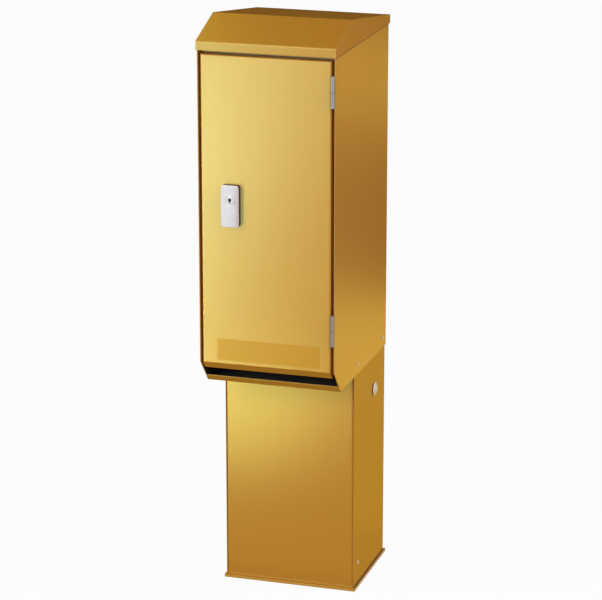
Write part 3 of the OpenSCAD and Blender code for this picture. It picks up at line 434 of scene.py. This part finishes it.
BLUE_PLASTIC = Finish(
    "blue_plastic", (0.03, 0.11, 0.4), (0.025, 0.09, 0.34), (0.08, 0.19, 0.5),
    roughness=(0.36, 0.48), stretch=MOULDED, grain=0.00003, mottle=18.0,
)
WHITE_PLASTIC = Finish(
    "white_plastic", (0.74, 0.74, 0.72), (0.69, 0.69, 0.67), (0.8, 0.8, 0.79),
    roughness=(0.38, 0.48), stretch=FINE_MOULDED, grain=0.00002, mottle=22.0,
)
DARK_PLASTIC = Finish(
    "dark_plastic", (0.045, 0.045, 0.05), (0.035, 0.035, 0.04), (0.1, 0.1, 0.11),
    roughness=(0.35, 0.45), stretch=FINE_MOULDED, grain=0.00002, mottle=30.0,
)
YELLOW_PLASTIC = Finish(
    "yellow_plastic", (0.72, 0.46, 0.03), (0.66, 0.4, 0.025), (0.82, 0.6, 0.12),
    roughness=(0.25, 0.35), grain=0.00001, mottle=60.0,
)
BLACK_RUBBER = Finish(
    "black_rubber", (0.018, 0.018, 0.019), (0.013, 0.013, 0.014), (0.04, 0.04, 0.042),
    roughness=(0.62, 0.78), stretch=(1800.0,) * 3, grain=0.00005, mottle=30.0,
)
CLEAR_PLASTIC = Finish(
    "clear_plastic", (0.86, 0.9, 0.91), (0.82, 0.87, 0.88), (0.92, 0.95, 0.96),
    roughness=(0.05, 0.1), grain=0.000002, mottle=10.0, edge_radius=0.0003, clear=0.92,
)

SLOT_FINISHES = {
    finish.name: finish
    for finish in (
        GOLD_SHEET, ZINC_STEEL, HINGE_STEEL, BRIGHT_METAL, CAST_ALLOY, BLACK_RUBBER, BRASS,
        GREY_SHEET, GREY_PLASTIC, RED_PLASTIC, BLUE_PLASTIC, CLEAR_PLASTIC, WHITE_PLASTIC,
        DARK_PLASTIC, YELLOW_PLASTIC,
    )
}
NODE_FINISHES = {"body_screws": SCREW_ALLOY, "door_frame": PAINTED_LIGHT_GOLD_FRAME}


class Paintbox:
    """Builds each finish's material once and dresses objects with it."""

    def __init__(self) -> None:
        """Makes the shared effects and an empty store."""
        self.effects = SharedEffects()
        self.materials: dict[str, Material] = {}

    def dress(self, obj: Object, finish: Finish) -> None:
        """Gives an object a finish, in place of what it has.

        Args:
            obj: The object.
            finish: Its new finish.
        """
        if finish.name not in self.materials:
            self.materials[finish.name] = finish.material(self.effects)
        if not obj.material_slots:
            obj.data.materials.append(None)
        for slot in obj.material_slots:
            slot.material = self.materials[finish.name]

    def dress_frame(self) -> None:
        """Gives every CAD node its own finish, or that of its record slot."""
        for part in frame["record"]["subparts"]:
            node = part["node"]
            finish = NODE_FINISHES.get(node) or SLOT_FINISHES[part["material_slot"]]
            self.dress(frame["nodes"][node], finish)
            LOG.info("dressed %s in %s", node, finish.name)


class Rings:
    """Closed rings of points across and up, for lofted fittings."""

    STEPS = 32

    @classmethod
    def circle(cls, radius: float) -> Ring:
        """Gives a round ring."""
        turns = [i * (math.tau / cls.STEPS) for i in range(cls.STEPS)]
        return [(radius * math.cos(turn), radius * math.sin(turn)) for turn in turns]

    @classmethod
    def hexagon(cls, radius: float) -> Ring:
        """Gives a six-sided ring with as many points as a round one.

        Args:
            radius: Distance of the corners from the middle.

        Returns:
            The ring, counter-clockwise.
        """
        side = math.tau / 6
        ring = []
        for i in range(cls.STEPS):
            angle = i * math.tau / cls.STEPS
            reach = radius * math.cos(side / 2) / math.cos((angle % side) - side / 2)
            ring.append((reach * math.cos(angle), reach * math.sin(angle)))
        return ring

    @classmethod
    def rectangle(cls, width: float, height: float, radius: float) -> Ring:
        """Gives a rectangle with rounded corners.

        Args:
            width: Size across.
            height: Size up.
            radius: Corner radius.

        Returns:
            The ring, counter-clockwise.
        """
        steps = cls.STEPS // 4
        ring = []
        for corner, (sx, sy) in enumerate(((1, 1), (-1, 1), (-1, -1), (1, -1))):
            cx, cy = sx * (width / 2 - radius), sy * (height / 2 - radius)
            for i in range(steps):
                angle = (corner + i / (steps - 1)) * math.pi / 2
                ring.append((cx + radius * math.cos(angle), cy + radius * math.sin(angle)))
        return ring


class Fittings:
    """Makes the small added pieces by lofting rings, and hangs them on their bodies."""

    SHARP_ANGLE = math.radians(35)
    RIM_PARTS = 3  # a softened rim is one of so many parts of the thickness
    SCREW_HEAD = (0.003, 0.0017)  # radius and height
    DOME_ANGLES = (0.0, 0.35, 0.7, 0.95)
    SOCKET_SHARE = 0.45
    SOCKET_TAPER = 0.96
    SOCKET_LEVELS = (0.92, 0.35)  # mouth and floor in the head's height

    def __init__(self, paints: Paintbox) -> None:
        """Keeps the paintbox that dresses the pieces."""
        self.paints = paints

    def loft(
        self, name: str, rings: Sequence[tuple[float, Ring]], place: Matrix, closed: bool = True
    ) -> Object:
        """Joins rings of equal length into one skin.

        Args:
            name: The piece's name.
            rings: Height above the seat and ring, in order along the skin.
            place: Matrix from across, up and outward to the row frame.
            closed: Whether the first and last rings are capped; otherwise they are joined.

        Returns:
            The new object, in the row frame.
        """
        mesh = bmesh.new()
        loops = [
            [mesh.verts.new(place @ Vector((x, y, height))) for x, y in ring]
            for height, ring in rings
        ]
        pairs = list(zip(loops, loops[1:]))
        if closed:
            mesh.faces.new(list(reversed(loops[0])))
            mesh.faces.new(loops[-1])
        else:
            pairs.append((loops[-1], loops[0]))
        for low, high in pairs:
            for i in range(len(low)):
                j = (i + 1) % len(low)
                mesh.faces.new((low[i], low[j], high[j], high[i]))
        bmesh.ops.recalc_face_normals(mesh, faces=mesh.faces)
        data = bpy.data.meshes.new(name)
        mesh.to_mesh(data)
        mesh.free()
        data.shade_smooth()
        data.set_sharp_from_angle(angle=self.SHARP_ANGLE)
        return new_object(name, data)

    def hang(
        self, obj: Object, finish: Finish, body: str = Body.PILLAR.value, slot: str = ""
    ) -> None:
        """Dresses a piece and makes it ride on a body.

        Args:
            obj: The piece.
            finish: The piece's finish.
            body: Name of the body.
            slot: Record slot of the finish, if that isn't its name; not used.
        """
        slot = slot or finish.name
        self.paints.dress(obj, finish)
        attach(obj, body)
        LOG.info("added %s on %s", obj.name, body)

    def plate(
        self, name: str, place: Matrix, size: Pair, thickness: float, radius: float
    ) -> Object:
        """Makes a thin plate with rounded corners and a softened rim.

        Args:
            name: The piece's name.
            place: Matrix of the plate's seat.
            size: Size across and up.
            thickness: Height above the seat.
            radius: Corner radius.

        Returns:
            The plate.
        """
        width, height = size
        rim = thickness / self.RIM_PARTS
        inner = Rings.rectangle(width - 2 * rim, height - 2 * rim, radius - rim)
        outer = Rings.rectangle(width, height, radius)
        return self.loft(name, [(0, outer), (thickness - rim, outer), (thickness, inner)], place)

    def screw(self, name: str, place: Matrix) -> Object:
        """Makes a domed screw head with a six-sided socket.

        Args:
            name: The piece's name.
            place: Matrix of the head's seat.

        Returns:
            The screw head.
        """
        radius, height = self.SCREW_HEAD
        rings = [
            (height * math.sin(a), Rings.circle(radius * math.cos(a))) for a in self.DOME_ANGLES
        ]
        socket = radius * self.SOCKET_SHARE
        for level, reach in zip(self.SOCKET_LEVELS, (socket, socket * self.SOCKET_TAPER)):
            rings.append((height * level, Rings.hexagon(reach)))
        return self.loft(name, rings, place)

    def sleeve(
        self, name: str, place: Matrix, outer: float, inner: float, length: float
    ) -> Object:
        """Makes an open tube with a rounded mouth.

        Args:
            name: The piece's name.
            place: Matrix of the tube's foot.
            outer: Outside radius.
            inner: Bore radius.
            length: Length along outward.

        Returns:
            The tube.
        """
        lip = (outer - inner) / self.RIM_PARTS
        circle = Rings.circle
        rings = [
            (0, circle(outer)), (length - lip, circle(outer)), (length, circle(outer - lip)),
            (length, circle(inner + lip)), (length - lip, circle(inner)), (0, circle(inner)),
        ]
        return self.loft(name, rings, place, closed=False)


@dataclass
class DoorTrim:
    """What the door carries besides its sheet: the bare label field.

    Attributes:
        label_size: Size of the label film across and up.
        label_lift: Height of the film's middle above the door's fold.
        label_shift: Distance of the film's middle from the door's, to the right.
        fold_height: Height of the door's fold.
        film: Thickness of the film.
        corner: Corner radius of the film.
    """

    label_size: Pair = (0.2085, 0.0435)
    label_lift: float = 0.0288
    label_shift: float = 0.0036
    fold_height: float = 0.512
    film: float = 0.0003
    corner: float = 0.0015

    def build(self, fittings: Fittings) -> None:
        """Lays the label film on the door's front.

        Args:
            fittings: Maker of the pieces.
        """
        low, high = box_of("door")
        across = (low.x + high.x) / 2 + self.label_shift
        seat = Facing.FRONT.seat(across, low.y, self.fold_height + self.label_lift)
        label = fittings.plate("label_field", seat, self.label_size, self.film, self.corner)
        fittings.hang(label, LABEL_FILM, Body.DOOR.value, GOLD_SHEET.name)


@dataclass
class SlotShadeStrips:
    """Painted shade: black rubber strips on the cabinet's walls and floor at both ends of the cable
    slot, for the shade inside the slot.

    Attributes:
        top: Depth behind the cabinet's front and height of the strip's upper front corner.
        foot: The same of the corner above the floor's lip.
        heel: The same of the corner behind the lip, where the floor's strip starts.
        reach: Depth at which the strip ends.
        thickness: Thickness of the rubber.
        floor_width: Width of the floor's strip, up to the mat.
        wall: Thickness of the cabinet's sheet.
    """

    top: Pair = (0.0146, 0.4955)
    foot: Pair = (0.0328, 0.475)
    heel: Pair = (0.05, 0.464)
    reach: float = 0.135
    thickness: float = 0.0008
    floor_width: float = 0.008
    wall: float = 0.0015

    def build(self, fittings: Fittings) -> None:
        """Lays a strip on each wall and one beside it on the floor.

        Args:
            fittings: Maker of the pieces.
        """
        low, high = box_of("cabinet_shell")
        floor_z = box_of("floor_mat")[0].z
        strip = [
            self.heel, (self.reach, self.heel[1]), (self.reach, self.top[1]), self.top, self.foot,
        ]
        start, end = self.heel[0], self.reach
        lying = [
            (start, floor_z), (end, floor_z), (end, floor_z + self.thickness),
            (start, floor_z + self.thickness),
        ]
        walls = ((Facing.RIGHT, low.x + self.wall, 1), (Facing.LEFT, high.x - self.wall, -1))
        kinds = (("wall", strip, self.thickness), ("floor", lying, self.floor_width))
        for facing, wall_x, sign in walls:
            place = facing.seat(wall_x, 0, 0)
            for kind, ring, depth in kinds:
                points = [(sign * (low.y + y), z) for y, z in ring]
                name = f"slot_{kind}_shade_strip_{facing.name.lower()}"
                piece = fittings.loft(name, [(0, points), (depth, points)], place)
                # Painted shade: black rubber darkens the slot's inside, which lies in shade.
                fittings.hang(piece, BLACK_RUBBER)


@dataclass
class LockTrim:
    """Retaining pin on the handle's plate, beside the lock barrel.

    Attributes:
        offset: Place of the pin across and up from the lock's axis.
        radius: Radius of the pin.
        sunk: How far the plate lies back there.
        proud: Height of the pin.
        shank: Share of the height below the pin's rounded end.
        tip: Radius of the end in the pin's radius.
    """

    offset: Pair = (0.0099, -0.0056)
    radius: float = 0.0012
    sunk: float = 0.00014
    proud: float = 0.0005
    shank: float = 0.6
    tip: float = 0.7

    def build(self, fittings: Fittings) -> None:
        """Sets the pin in the plate.

        Args:
            fittings: Maker of the pieces.
        """
        axis = middle_of("key_plug")
        across, up = self.offset
        depth = box_of("handle_plate")[0].y + self.sunk
        seat = Facing.FRONT.seat(axis.x + across, depth, axis.z + up)
        rings = [
            (0, Rings.circle(self.radius)),
            (self.proud * self.shank, Rings.circle(self.radius)),
            (self.proud, Rings.circle(self.radius * self.tip)),
        ]
        pin = fittings.loft("lock_pin", rings, seat)
        fittings.hang(pin, HINGE_STEEL, Body.HANDLE.value)


@dataclass
class ShadeLines:
    """Painted shade: dark strips under the roof cap's rim and dark beads along the pedestal's sides
    on the base plate, for the shadow lines there.

    Attributes:
        rim: Width and height of the strip under the roof cap.
        bead: Width and height of the bead on the base plate.
        clear: Distance that the strips and beads stay from their neighbours' ends.
    """

    rim: Pair = (0.0013, 0.0014)
    bead: Pair = (0.003, 0.0026)
    clear: float = 0.003

    def build(self, fittings: Fittings) -> None:
        """Lays the strips and beads on both sides.

        Args:
            fittings: Maker of the pieces.
        """
        wide, tall = self.rim
        strip = [(0, -tall), (wide, -tall), (wide, 0), (0, 0)]
        out, up = self.bead
        bead = [(0, 0), (out, 0), (0, up)]
        rim_z, base_z = box_of("roof_cap")[0].z, box_of("base_plate")[1].z
        # Painted shade: a black rubber strip for the shadow under the roof cap's rim, a dark bead
        # for the shadow along the base plate.
        lines = (
            ("roof_shade_strip", strip, "cabinet_shell", rim_z, BLACK_RUBBER, BLACK_RUBBER.name),
            ("base_shade_bead", bead, "pedestal_shell", base_z, PAINTED_SEAM_SHADE, GOLD_SHEET.name),
        )
        for name, ring, wall, level, finish, slot in lines:
            low, high = box_of(wall)
            span = high.y - low.y - 2 * self.clear
            for side, wall_x, sign in (("left", low.x, -1), ("right", high.x, 1)):
                points = [(sign * x, z) for x, z in ring]
                rings = [(0, points), (span, points)]
                seat = Facing.FRONT.seat(wall_x, high.y - self.clear, level)
                piece = fittings.loft(f"{name}_{side}", rings, seat)
                fittings.hang(piece, finish, slot=slot)


@dataclass
class SocketTrim:
    """Metal and rubber of one lidded socket: contact sleeves, rim seal and flange screws.

    Attributes:
        node: CAD node of the socket.
        flange: Thickness of the flange.
        collar: Length of the collar.
        face: Depth of the contact carrier below the rim.
        contacts: Places of the contacts across and up.
        contact_radius: Outside radius of a contact sleeve.
        contact_depth: Depth of the contact holes below the rim.
        seal: Outer and inner radius of the rim seal.
        screws: Distance of the flange screws across and up.
        clip_reach: Distance of the earth clips from the middle, or 0 for none.
        panel: Thickness of the socket panel.
        seal_height: Height of the rim seal.
        sleeve_wall: Wall of a contact sleeve.
        sleeve_sink: How far a sleeve's mouth lies below the carrier.
        clip_width: Width of an earth clip.
        clip_thickness: Thickness of an earth clip.
        clip_bow: How far a clip bows into the recess.
        clip_share: Length of a clip in the recess's depth.
        clip_steps: Rings along a clip.
    """

    node: str
    flange: float
    collar: float
    face: float
    contacts: Sequence[Pair]
    contact_radius: float
    contact_depth: float
    seal: Pair
    screws: Pair
    clip_reach: float = 0.0
    panel: float = 0.002
    seal_height: float = 0.0002
    sleeve_wall: float = 0.0006
    sleeve_sink: float = 0.0004
    clip_width: float = 0.005
    clip_thickness: float = 0.0007
    clip_bow: float = 0.0022
    clip_share: float = 0.8
    clip_steps: int = 9

    def at(self, across: float, up: float, outward: float) -> Matrix:
        """Gives the matrix of a place on the socket.

        Args:
            across: Distance to the right of the socket's middle.
            up: Distance above it.
            outward: Distance in front of the panel.

        Returns:
            Matrix from across, up and outward to the row frame.
        """
        middle = middle_of(self.node)
        depth = box_of("socket_panel")[1].y - self.panel - outward
        return Facing.FRONT.seat(middle.x + across, depth, middle.z + up)

    def build(self, fittings: Fittings) -> None:
        """Adds the socket's contacts, seal, screws and clips.

        Args:
            fittings: Maker of the pieces.
        """
        rim = self.flange + self.collar
        for i, (across, up) in enumerate(self.contacts):
            sleeve = fittings.sleeve(
                f"{self.node}_contact_{i}", self.at(across, up, rim - self.contact_depth),
                self.contact_radius, self.contact_radius - self.sleeve_wall,
                self.contact_depth - self.face - self.sleeve_sink,
            )
            fittings.hang(sleeve, BRASS)
        seal = fittings.sleeve(
            f"{self.node}_seal", self.at(0, 0, rim), *self.seal, self.seal_height
        )
        fittings.hang(seal, BLACK_RUBBER)
        across, up = self.screws
        for i, (sx, sy) in enumerate(((-1, -1), (1, -1), (1, 1), (-1, 1))):
            place = self.at(sx * across, sy * up, self.flange)
            screw = fittings.screw(f"{self.node}_screw_{i}", place)
            fittings.hang(screw, ZINC_STEEL)
        if self.clip_reach:
            for name, side in (("upper", 1), ("lower", -1)):
                self._clip(fittings, name, side, rim)

    def _clip(self, fittings: Fittings, name: str, side: int, rim: float) -> None:
        """Adds a sprung earth strip that bows into the recess.

        Args:
            fittings: Maker of the pieces.
            name: Which of the two strips.
            side: 1 above the middle, -1 below.
            rim: Distance of the rim from the panel's front.
        """
        corner = self.clip_thickness / fittings.RIM_PARTS
        strip = Rings.rectangle(self.clip_width, self.clip_thickness, corner)
        rings = []
        for i in range(self.clip_steps):
            share = i / (self.clip_steps - 1)
            bow = self.clip_bow * math.sin(math.pi * share)
            lift = side * (self.clip_reach - bow)
            height = share * self.face * self.clip_share
            rings.append((height, [(x, y + lift) for x, y in strip]))
        clip = fittings.loft(f"{self.node}_clip_{name}", rings, self.at(0, 0, rim - self.face))
        fittings.hang(clip, ZINC_STEEL)


@dataclass
class BreakerTrim:
    """Small marks on the breakers' noses and the screws of their window.

    Attributes:
        poles: Number of poles by breaker node.
        nose_height: Height of the breakers' noses.
        flag_size: Size of a position flag across and up.
        flag_drop: Distance of the flags below the breakers' middle.
        flag_corner: Corner radius of a flag.
        mark: Thickness of the flags and of the lines between poles.
        line_width: Width of a line between poles.
        line_lift: Height of a line's middle above the breakers', in nose heights.
        line_share: Length of a line in nose heights.
        window_screws: Places of the window's screws from its middle.
        window_depth: Distance of the screws' seats from the panel's rear.
    """

    poles: dict[str, int] = field(default_factory=lambda: {
        "residual_breaker": 4, "left_triple_breaker": 3, "right_triple_breaker": 3,
        "left_single_breaker": 1, "right_single_breaker": 1,
    })
    nose_height: float = 0.045
    flag_size: Pair = (0.006, 0.0032)
    flag_drop: float = 0.013
    flag_corner: float = 0.00048
    mark: float = 0.00012
    line_width: float = 0.0005
    line_lift: float = 0.32
    line_share: float = 0.34
    window_screws: tuple[Pair, ...] = (
        (-0.117, -0.04), (0.117, -0.04), (-0.117, 0.02), (0.117, 0.02),
    )
    window_depth: float = 0.01

    def build(self, fittings: Fittings) -> None:
        """Adds the flags, the lines between poles and the window's screws.

        Args:
            fittings: Maker of the pieces.
        """
        lift = self.nose_height * self.line_lift
        line_size = (self.line_width, self.nose_height * self.line_share)
        for node, poles in self.poles.items():
            low, high = box_of(node)
            middle = (low + high) / 2
            width = (high.x - low.x) / poles
            seat = Facing.FRONT.seat(middle.x, low.y, middle.z - self.flag_drop)
            flag = fittings.plate(f"{node}_flag", seat, self.flag_size, self.mark, self.flag_corner)
            fittings.hang(flag, RED_PLASTIC)
            for i in range(1, poles):
                seat = Facing.FRONT.seat(low.x + i * width, low.y, middle.z + lift)
                line = fittings.plate(f"{node}_line_{i}", seat, line_size, self.mark, self.mark)
                fittings.hang(line, DARK_PLASTIC)
        middle = middle_of("window_frame")
        depth = box_of("socket_panel")[1].y - self.window_depth
        for i, (across, up) in enumerate(self.window_screws):
            seat = Facing.FRONT.seat(middle.x + across, depth, middle.z + up)
            screw = fittings.screw(f"window_screw_{i}", seat)
            fittings.hang(screw, ZINC_STEEL)


def socket_trims() -> list[SocketTrim]:
    """Gives the trim of the two power sockets and the two house sockets."""
    ring, contacts = 0.0135, 5
    turns = [i * math.tau / contacts for i in range(contacts)]
    star = [(-ring * math.sin(turn), -ring * math.cos(turn)) for turn in turns]
    trims = []
    for side in ("left", "right"):
        trims.append(SocketTrim(
            f"{side}_power_socket", flange=0.006, collar=0.028, face=0.007, contacts=star,
            contact_radius=0.0028, contact_depth=0.0245, seal=(0.0322, 0.0292),
            screws=(0.0335, 0.0365),
        ))
        trims.append(SocketTrim(
            f"{side}_house_socket", flange=0.005, collar=0.012, face=0.017,
            contacts=[(-0.0095, 0.0), (0.0095, 0.0)], contact_radius=0.0023, contact_depth=0.0245,
            seal=(0.0233, 0.0205), screws=(0.0235, 0.029), clip_reach=0.019,
        ))
    return trims


@dataclass
class PhotoCamera:
    """The camera at the photograph's viewing angle.

    Attributes:
        place: Position in the row frame.
        pitch: Angle below the horizon in degrees.
        azimuth: Angle to the right of the door's middle in degrees.
        lens: Focal length in millimetres.
        sensor: Width of the sensor in millimetres.
        reach: Distance up to which it sees.
    """

    place: Point = (1.5338, -5.0274, 2.1201)
    pitch: float = 16.38
    azimuth: float = 17.08
    lens: float = 160.88
    sensor: float = 36.0
    reach: float = 100.0

    def build(self) -> None:
        """Places the camera and makes it the scene's own."""
        data = bpy.data.cameras.new("photo_camera")
        data.lens = self.lens
        data.sensor_width = self.sensor
        data.clip_end = self.reach
        camera = new_object("photo_camera", data)
        camera.location = self.place
        camera.rotation_euler = (math.radians(90 - self.pitch), 0, math.radians(self.azimuth))
        bpy.context.scene.camera = camera
        LOG.info("placed %s", camera.name)


FRONT_SHEETS = ("door", "label_field", "cabinet_floor", "pedestal_cover")
REAR_SHEETS = ("cabinet_shell", "pedestal_shell", "roof_cap", "base_plate", "body_screws")
LOCK_FACE = ("handle_plate", "lock_barrel", "key_plug")
SHELL = ("cabinet_shell", "roof_cap", "door", "cabinet_floor", "pedestal_shell", "pedestal_cover")

# Height of the points that upward lamps and cards face
SKY = 9.0


def flat_sheet(name: str, size: Pair) -> Object:
    """Makes a flat rectangle in the middle of the ground.

    Args:
        name: The object's name.
        size: Size across and up.

    Returns:
        The new object, linked to the scene.
    """
    width, height = (side / 2 for side in size)
    data = bpy.data.meshes.new(name)
    corners = [
        (-width, -height, 0), (width, -height, 0), (width, height, 0), (-width, height, 0),
    ]
    data.from_pydata(corners, [], [(0, 1, 2, 3)])
    return new_object(name, data)


@dataclass(frozen=True)
class Softbox:
    """One rectangular lamp.

    Attributes:
        name: Lamp's name.
        place: Position in the row frame.
        aim: Point that it faces.
        size: Size across and up.
        power: Power in watts.
        colour: Colour of its light.
        lit: Objects that it lights; none for light on everything.
        stopped: Objects that throw shadows in its light; none for all of them.
        plain: Whether it lights matt surfaces.
        mirrored: Whether it shows in glossy surfaces.
    """

    name: str
    place: Point
    aim: Point
    size: Pair
    power: float
    colour: Colour = (1.0, 1.0, 1.0)
    lit: tuple[str, ...] = ()
    stopped: tuple[str, ...] = ()
    plain: bool = True
    mirrored: bool = True

    def build(self) -> None:
        """Places the lamp."""
        data = bpy.data.lights.new(self.name, "AREA")
        data.shape = "RECTANGLE"
        data.size, data.size_y = self.size
        data.energy = self.power
        data.color = self.colour
        lamp = new_object(self.name, data)
        lamp.location = self.place
        way = Vector(self.aim) - Vector(self.place)
        lamp.rotation_euler = way.to_track_quat("-Z", "Y").to_euler()
        lamp.visible_camera = False
        lamp.visible_diffuse = self.plain
        lamp.visible_glossy = self.mirrored
        if self.lit:
            lamp.light_linking.receiver_collection = self._group("lit", self.lit)
        if self.stopped:
            lamp.light_linking.blocker_collection = self._group("stopped", self.stopped)
        LOG.info("placed %s", self.name)

    def _group(self, kind: str, names: Sequence[str]) -> Collection:
        """Collects CAD nodes and added pieces for the lamp.

        Args:
            kind: What the lamp does to them.
            names: Names of the nodes and pieces.

        Returns:
            The collection.
        """
        group = bpy.data.collections.new(f"{self.name}_{kind}")
        for name in names:
            group.objects.link(frame["nodes"].get(name) or bpy.data.objects[name])
        return group


@dataclass(frozen=True)
class Card:
    """A flat studio card that the sheet reflects, out of the photograph's view.

    Attributes:
        name: Card's name.
        place: Middle in the row frame.
        aim: Point that it faces.
        size: Size across and up.
        colour: Card's colour.
        flag: Whether it also keeps the world's light off.
    """

    name: str
    place: Point
    aim: Point
    size: Pair
    colour: Colour
    flag: bool = False

    def build(self) -> None:
        """Places the card, hidden from the camera."""
        card = flat_sheet(self.name, self.size)
        card.location = self.place
        way = Vector(self.aim) - Vector(self.place)
        card.rotation_euler = way.to_track_quat("Z", "Y").to_euler()
        card.visible_camera = False
        card.visible_shadow = False
        card.visible_diffuse = self.flag
        material, shader, surface = new_material(self.name)
        shader.fix(surface, {
            "Base Color": (0.0, 0.0, 0.0, 1.0), "Specular IOR Level": 0.0,
            "Emission Color": (*self.colour, 1.0), "Emission Strength": 1.0,
        })
        card.data.materials.append(material)
        LOG.info("placed %s", self.name)


@dataclass
class Studio:
    """Pale floor, lamps, cards and world.

    Attributes:
        floor_size: Side of the floor.
        floor_white: Share of the floor's own white that the camera and reflections see.
        floor_colour: Floor's colour, to the camera and in reflections.
        floor_bounce: Floor's colour in the light that it throws back.
        world_grey: Level of the world's light.
        world_white: Level of the world that the camera and reflections see.
        lamps: The lamps.
        cards: The cards.
    """

    floor_size: float = 60.0
    floor_white: float = 0.95
    floor_colour: Colour = (0.95, 0.95, 0.95)
    floor_bounce: Colour = (0.33, 0.33, 0.33)
    world_grey: float = 0.4
    world_white: float = 0.97
    lamps: tuple[Softbox, ...] = (
        Softbox("key_left", (-1.3, -3.3, 1.9), (0.0, -0.2, 0.45), (1.6, 1.6), 56.0),
        Softbox(
            "fill_right", (2.4, -0.8, 1.9), (0.0, 0.0, 0.7), (1.4, 1.6), 28.0,
            colour=(1.0, 0.88, 0.98), mirrored=False,
        ),
        Softbox(
            "fill_rear", (-1.5, 3.0, 0.62), (0.0, 0.1, 0.62), (1.8, 1.0), 36.0,
            lit=REAR_SHEETS, mirrored=False,
        ),
        Softbox(
            "glow_door", (-1.18, -2.1, 0.37), (-1.18, -1.596, 1.234), (0.95, 1.4), 48.0,
            colour=(0.85, 0.91, 1.0), lit=FRONT_SHEETS, stopped=SHELL, plain=False,
        ),
        Softbox(
            "glow_pedestal", (-0.76, -1.18, 0.02), (-0.76, -1.18, SKY), (1.04, 0.74), 21.5,
            colour=(1.0, 0.91, 0.52), lit=FRONT_SHEETS, stopped=SHELL, plain=False,
        ),
        Softbox(
            "glow_fascia", (-1.12, -2.6, 0.66), (-0.14, -0.28, 1.15), (0.15, 0.8), 9.6,
            colour=(0.83, 1.0, 0.95), lit=("roof_cap",), plain=False,
        ),
        Softbox(
            "glow_slope", (-1.3, 1.66, 3.35), (-0.1, -0.2, 1.17), (0.15, 0.8), 2.8,
            colour=(1.0, 0.8, 0.1), lit=("roof_cap",), plain=False,
        ),
        Softbox(
            "glow_lock", (-0.95, -2.1, 0.4), (-0.95, -1.596, 1.264), (0.95, 1.4), 5.0,
            colour=(0.67, 0.83, 1.0), lit=LOCK_FACE, plain=False,
        ),
        Softbox(
            "glow_wall_foot", (0.66, 1.36, 0.02), (0.66, 1.36, SKY), (1.1, 0.9), 1.8,
            colour=(1.0, 0.8, 0.2), lit=("cabinet_shell",), plain=False,
        ),
        Softbox(
            "glow_wall_top", (1.8, 5.7, 0.02), (1.8, 5.7, SKY), (3.0, 3.2), 21.0,
            colour=(1.0, 0.75, 0.15), lit=("cabinet_shell",), plain=False,
        ),
    )
    cards: tuple[Card, ...] = (
        Card("card_front", (-0.8, -2.4, 0.01), (-0.8, -2.4, SKY), (3.6, 5.2), (0.4, 0.2, 0.02)),
        Card("card_foot", (-0.08, -0.3, 0.016), (-0.08, -0.3, SKY), (0.7, 0.3), (0.8, 0.36, 0.03)),
        Card("card_near", (0.6, 0.95, 0.01), (0.6, 0.95, SKY), (1.1, 2.1), (0.82, 0.48, 0.04)),
        Card("card_dark", (1.2, 3.05, 0.01), (1.2, 3.05, SKY), (2.2, 2.08), (0.02, 0.012, 0.005)),
        Card("card_far", (1.9, 6.1, 0.01), (1.9, 6.1, SKY), (3.6, 4.0), (0.35, 0.2, 0.02)),
        Card("card_rear", (-1.2, 3.6, 2.4), (0.0, 0.0, 1.4), (12.0, 4.7), (0.03, 0.012, 0.002)),
        Card(
            "card_top", (-0.84, 1.5, 3.6), (0.0, -0.1, 1.15), (3.4, 3.0), (0.02, 0.006, 0.002),
            flag=True,
        ),
    )

    def build(self) -> None:
        """Sets up floor, world, lamps and cards."""
        bpy.context.scene.view_settings.view_transform = "Standard"
        self._floor()
        self._world()
        for item in (*self.lamps, *self.cards):
            item.build()

    def _floor(self) -> None:
        """Lays the floor, white to the camera and in reflections but holding the shadow."""
        floor = flat_sheet("studio_floor", (self.floor_size, self.floor_size))
        material, shader, surface = new_material("studio_floor")
        shader.fix(surface, {"Roughness": 1.0, "Specular IOR Level": 0.0})
        glow = shader.add("ShaderNodeEmission")
        seen = self._seen(shader)
        share = shader.add("ShaderNodeMath", operation="MULTIPLY")
        share.inputs[1].default_value = self.floor_white
        mix = shader.add("ShaderNodeMixShader")
        shader.link(seen, share.inputs[0])
        colour = shader.mix(seen, self.floor_bounce, self.floor_colour)
        shader.link(colour, surface.inputs["Base Color"])
        shader.link(share.outputs[0], mix.inputs["Fac"])
        shader.link(surface.outputs["BSDF"], mix.inputs[1])
        shader.link(glow.outputs["Emission"], mix.inputs[2])
        output = shader.tree.nodes["Material Output"]
        shader.link(mix.outputs["Shader"], output.inputs["Surface"])
        floor.data.materials.append(material)

    def _world(self) -> None:
        """Sets an even world, white to the camera and in reflections."""
        world = bpy.data.worlds.new("studio_world")
        world.use_nodes = True
        shader = Shader(world.node_tree)
        back = world.node_tree.nodes["Background"]
        shader.fix(back, {"Color": (1.0, 1.0, 1.0, 1.0)})
        level = shader.span(self._seen(shader), self.world_grey, self.world_white)
        shader.link(level, back.inputs["Strength"])
        bpy.context.scene.world = world

    @staticmethod
    def _seen(shader: Shader) -> NodeSocket:
        """Gives a value that is 1 for what the camera, reflections and clear pieces show.

        Args:
            shader: The tree to build in.

        Returns:
            The value's socket.
        """
        rays = shader.add("ShaderNodeLightPath")
        value = rays.outputs["Is Camera Ray"]
        for ray in ("Is Glossy Ray", "Is Transmission Ray"):
            either = shader.add("ShaderNodeMath", operation="MAXIMUM")
            shader.link(value, either.inputs[0])
            shader.link(rays.outputs[ray], either.inputs[1])
            value = either.outputs[0]
        return value


def main() -> None:
    """Builds the camera, the finishes, the added pieces and the studio, in that order."""
    logging.basicConfig(level=logging.INFO, format="%(name)s: %(message)s")
    PhotoCamera().build()
    paints = Paintbox()
    paints.dress_frame()
    fittings = Fittings(paints)
    for trim in (DoorTrim(), LockTrim(), SlotShadeStrips(), ShadeLines(), *socket_trims(), BreakerTrim()):
        trim.build(fittings)
    Studio().build()


if __name__ == "__main__":
    main()
